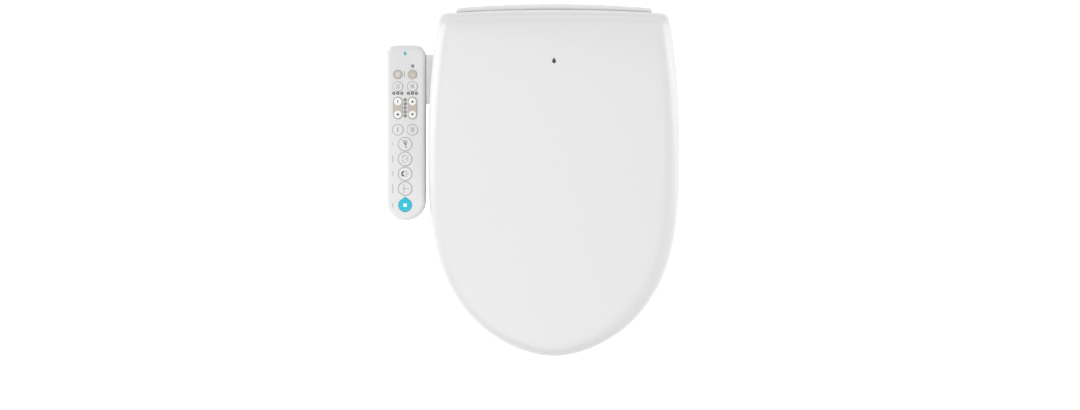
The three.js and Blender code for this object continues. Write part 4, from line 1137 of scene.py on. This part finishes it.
def make_marks():
    """Small generic marks: a drop on the lid and on the arm, and tick lines beside the keys."""
    arm_marks, face = [], ARM["top_z"]
    for x, y, length in ((-242.4, -155.4, 5.5), (-242.4, -177.7, 11), (-242.4, -200.0, 7),
                         (-242.4, -222.3, 14), (-242.4, -247.2, 6), (-241.2, -101, 14),
                         (-206.6, -101, 13), (-225.2, -50.6, 10)):
        ticks = max(2, round(length / 2.2))
        for k in range(ticks):
            at = y + length / 2 - length * (k + 0.5) / ticks
            arm_marks.append(stroke([(x, at - 0.45), (x, at + 0.45)], 0.9, face - 0.2, face + 0.04))
    put("arm_ticks", "housing", "dark_nylon", *together(*arm_marks), INK_GREY)
    drop = upright(drop_outline(-224.0, -19.4, 2.3), face - 0.2, face + PRINT_RISE)
    put("arm_drop", "housing", "teal_key", *drop, INK_TEAL)
    outline = drop_outline(0.0, -32.0, 3.0)
    high = lid_top(0, -32.0)
    rings = [[(x, y, lid_top(x, y) + rise) for x, y in outline] for rise in (-0.3, PRINT_RISE)]
    verts, faces = loft(rings, (0, -32.0, high - 0.3), (0, -32.0, high + PRINT_RISE))
    put("lid_drop", "lid", "dark_nylon", verts, faces, INK)


def drop_outline(x, y, radius):
    """A small drop with its point to the rear."""
    body = arc(x, y, radius, -215, 35, 28)
    shoulder, neck = radius * 0.35, y + radius * 1.35
    return body + [(x + shoulder, neck), (x, y + radius * 1.9), (x - shoulder, neck)]


# ---- camera, light and floor -------------------------------------------------------------------

IMAGE_WIDE, IMAGE_HIGH = 1080, 410
MM_PER_PIXEL = 1.5
VIEW_CENTRE = (-21.0, -247.0)
CAMERA_HIGH = 9.0
SCALE_HEIGHT = 0.09         # the height, in metres, at which the view's scale holds
SENSOR = 36
LAMPS = (                   # name, place in metres, width, height, watts
    ("key_box", (-0.5, -1.4, 2.5), 2.4, 2.4, 30),
    ("left_box", (-3.0, -0.3, 1.3), 1.6, 2.6, 58),
    ("right_box", (3.0, -0.2, 1.3), 1.6, 2.6, 54),
    ("rear_box", (0.0, 3.0, 1.3), 2.6, 1.4, 24),
)
LAMP_AIM = (0, -0.2, 0.05)
SKY_LOW, SKY_HIGH = 0.05, 0.66
FLOOR_REACH, FLOOR_GLOW = 8.0, 0.45


def make_camera():
    lens = bpy.data.cameras.new("camera")
    lens.sensor_width = SENSOR
    lens.sensor_fit = "HORIZONTAL"
    lens.lens = SENSOR * CAMERA_HIGH / (IMAGE_WIDE * MM_PER_PIXEL * MM)
    lens.clip_end = 50
    camera = bpy.data.objects.new("camera", lens)
    camera.location = (VIEW_CENTRE[0] * MM, VIEW_CENTRE[1] * MM, CAMERA_HIGH + SCALE_HEIGHT)
    bpy.context.scene.collection.objects.link(camera)
    bpy.context.scene.camera = camera


def make_light(name, place, wide, high, power):
    lamp = bpy.data.lights.new(name, "AREA")
    lamp.shape = "RECTANGLE"
    lamp.size, lamp.size_y = wide, high
    lamp.energy = power
    light = bpy.data.objects.new(name, lamp)
    light.location = place
    light.rotation_euler = (Vector(LAMP_AIM) - Vector(place)).to_track_quat("-Z", "Y").to_euler()
    bpy.context.scene.collection.objects.link(light)


def make_studio():
    world = bpy.data.worlds.new("studio")
    world.use_nodes = True
    tree = world.node_tree
    tree.nodes["Background"].inputs["Color"].default_value = (1, 1, 1, 1)
    way = node(tree, "ShaderNodeSeparateXYZ", {0: node(tree, "ShaderNodeTexCoord").outputs["Generated"]})
    sky = node(tree, "ShaderNodeMapRange", {"Value": way.outputs["Z"], "From Min": 0.0, "From Max": 1.0,
                                            "To Min": SKY_LOW, "To Max": SKY_HIGH})
    tree.links.new(sky.outputs["Result"], tree.nodes["Background"].inputs["Strength"])
    bpy.context.scene.world = world
    bpy.context.scene.view_settings.view_transform = "Standard"
    for lamp in LAMPS:
        make_light(*lamp)
    lowest = cad_bounds[0][2]
    floor = bpy.data.meshes.new("floor")
    corners = ((-1, -1), (1, -1), (1, 1), (-1, 1))
    floor.from_pydata([(FLOOR_REACH * x, FLOOR_REACH * y, lowest) for x, y in corners], [], [(0, 1, 2, 3)])
    paper = surface("floor_white", (0.97, 0.97, 0.97), 0.9, spread=0.004, mottle=2.0,
                    grain_depth=0.02, wear=0.0)
    shader = paper.node_tree.nodes["Principled BSDF"]
    shader.inputs["Emission Color"].default_value = (1, 1, 1, 1)
    shader.inputs["Emission Strength"].default_value = FLOOR_GLOW
    floor.materials.append(paper)
    ground = bpy.data.objects.new("floor", floor)
    bpy.context.scene.collection.objects.link(ground)


make_camera()
make_studio()
make_lid()
make_housing()
make_bridge()
make_arm()
make_keys()
make_seat()
make_buffers()
make_hinges()
make_fixing()
make_fittings()
make_nozzles()
make_water_and_air()
make_boards()
make_small_parts()
make_marks()
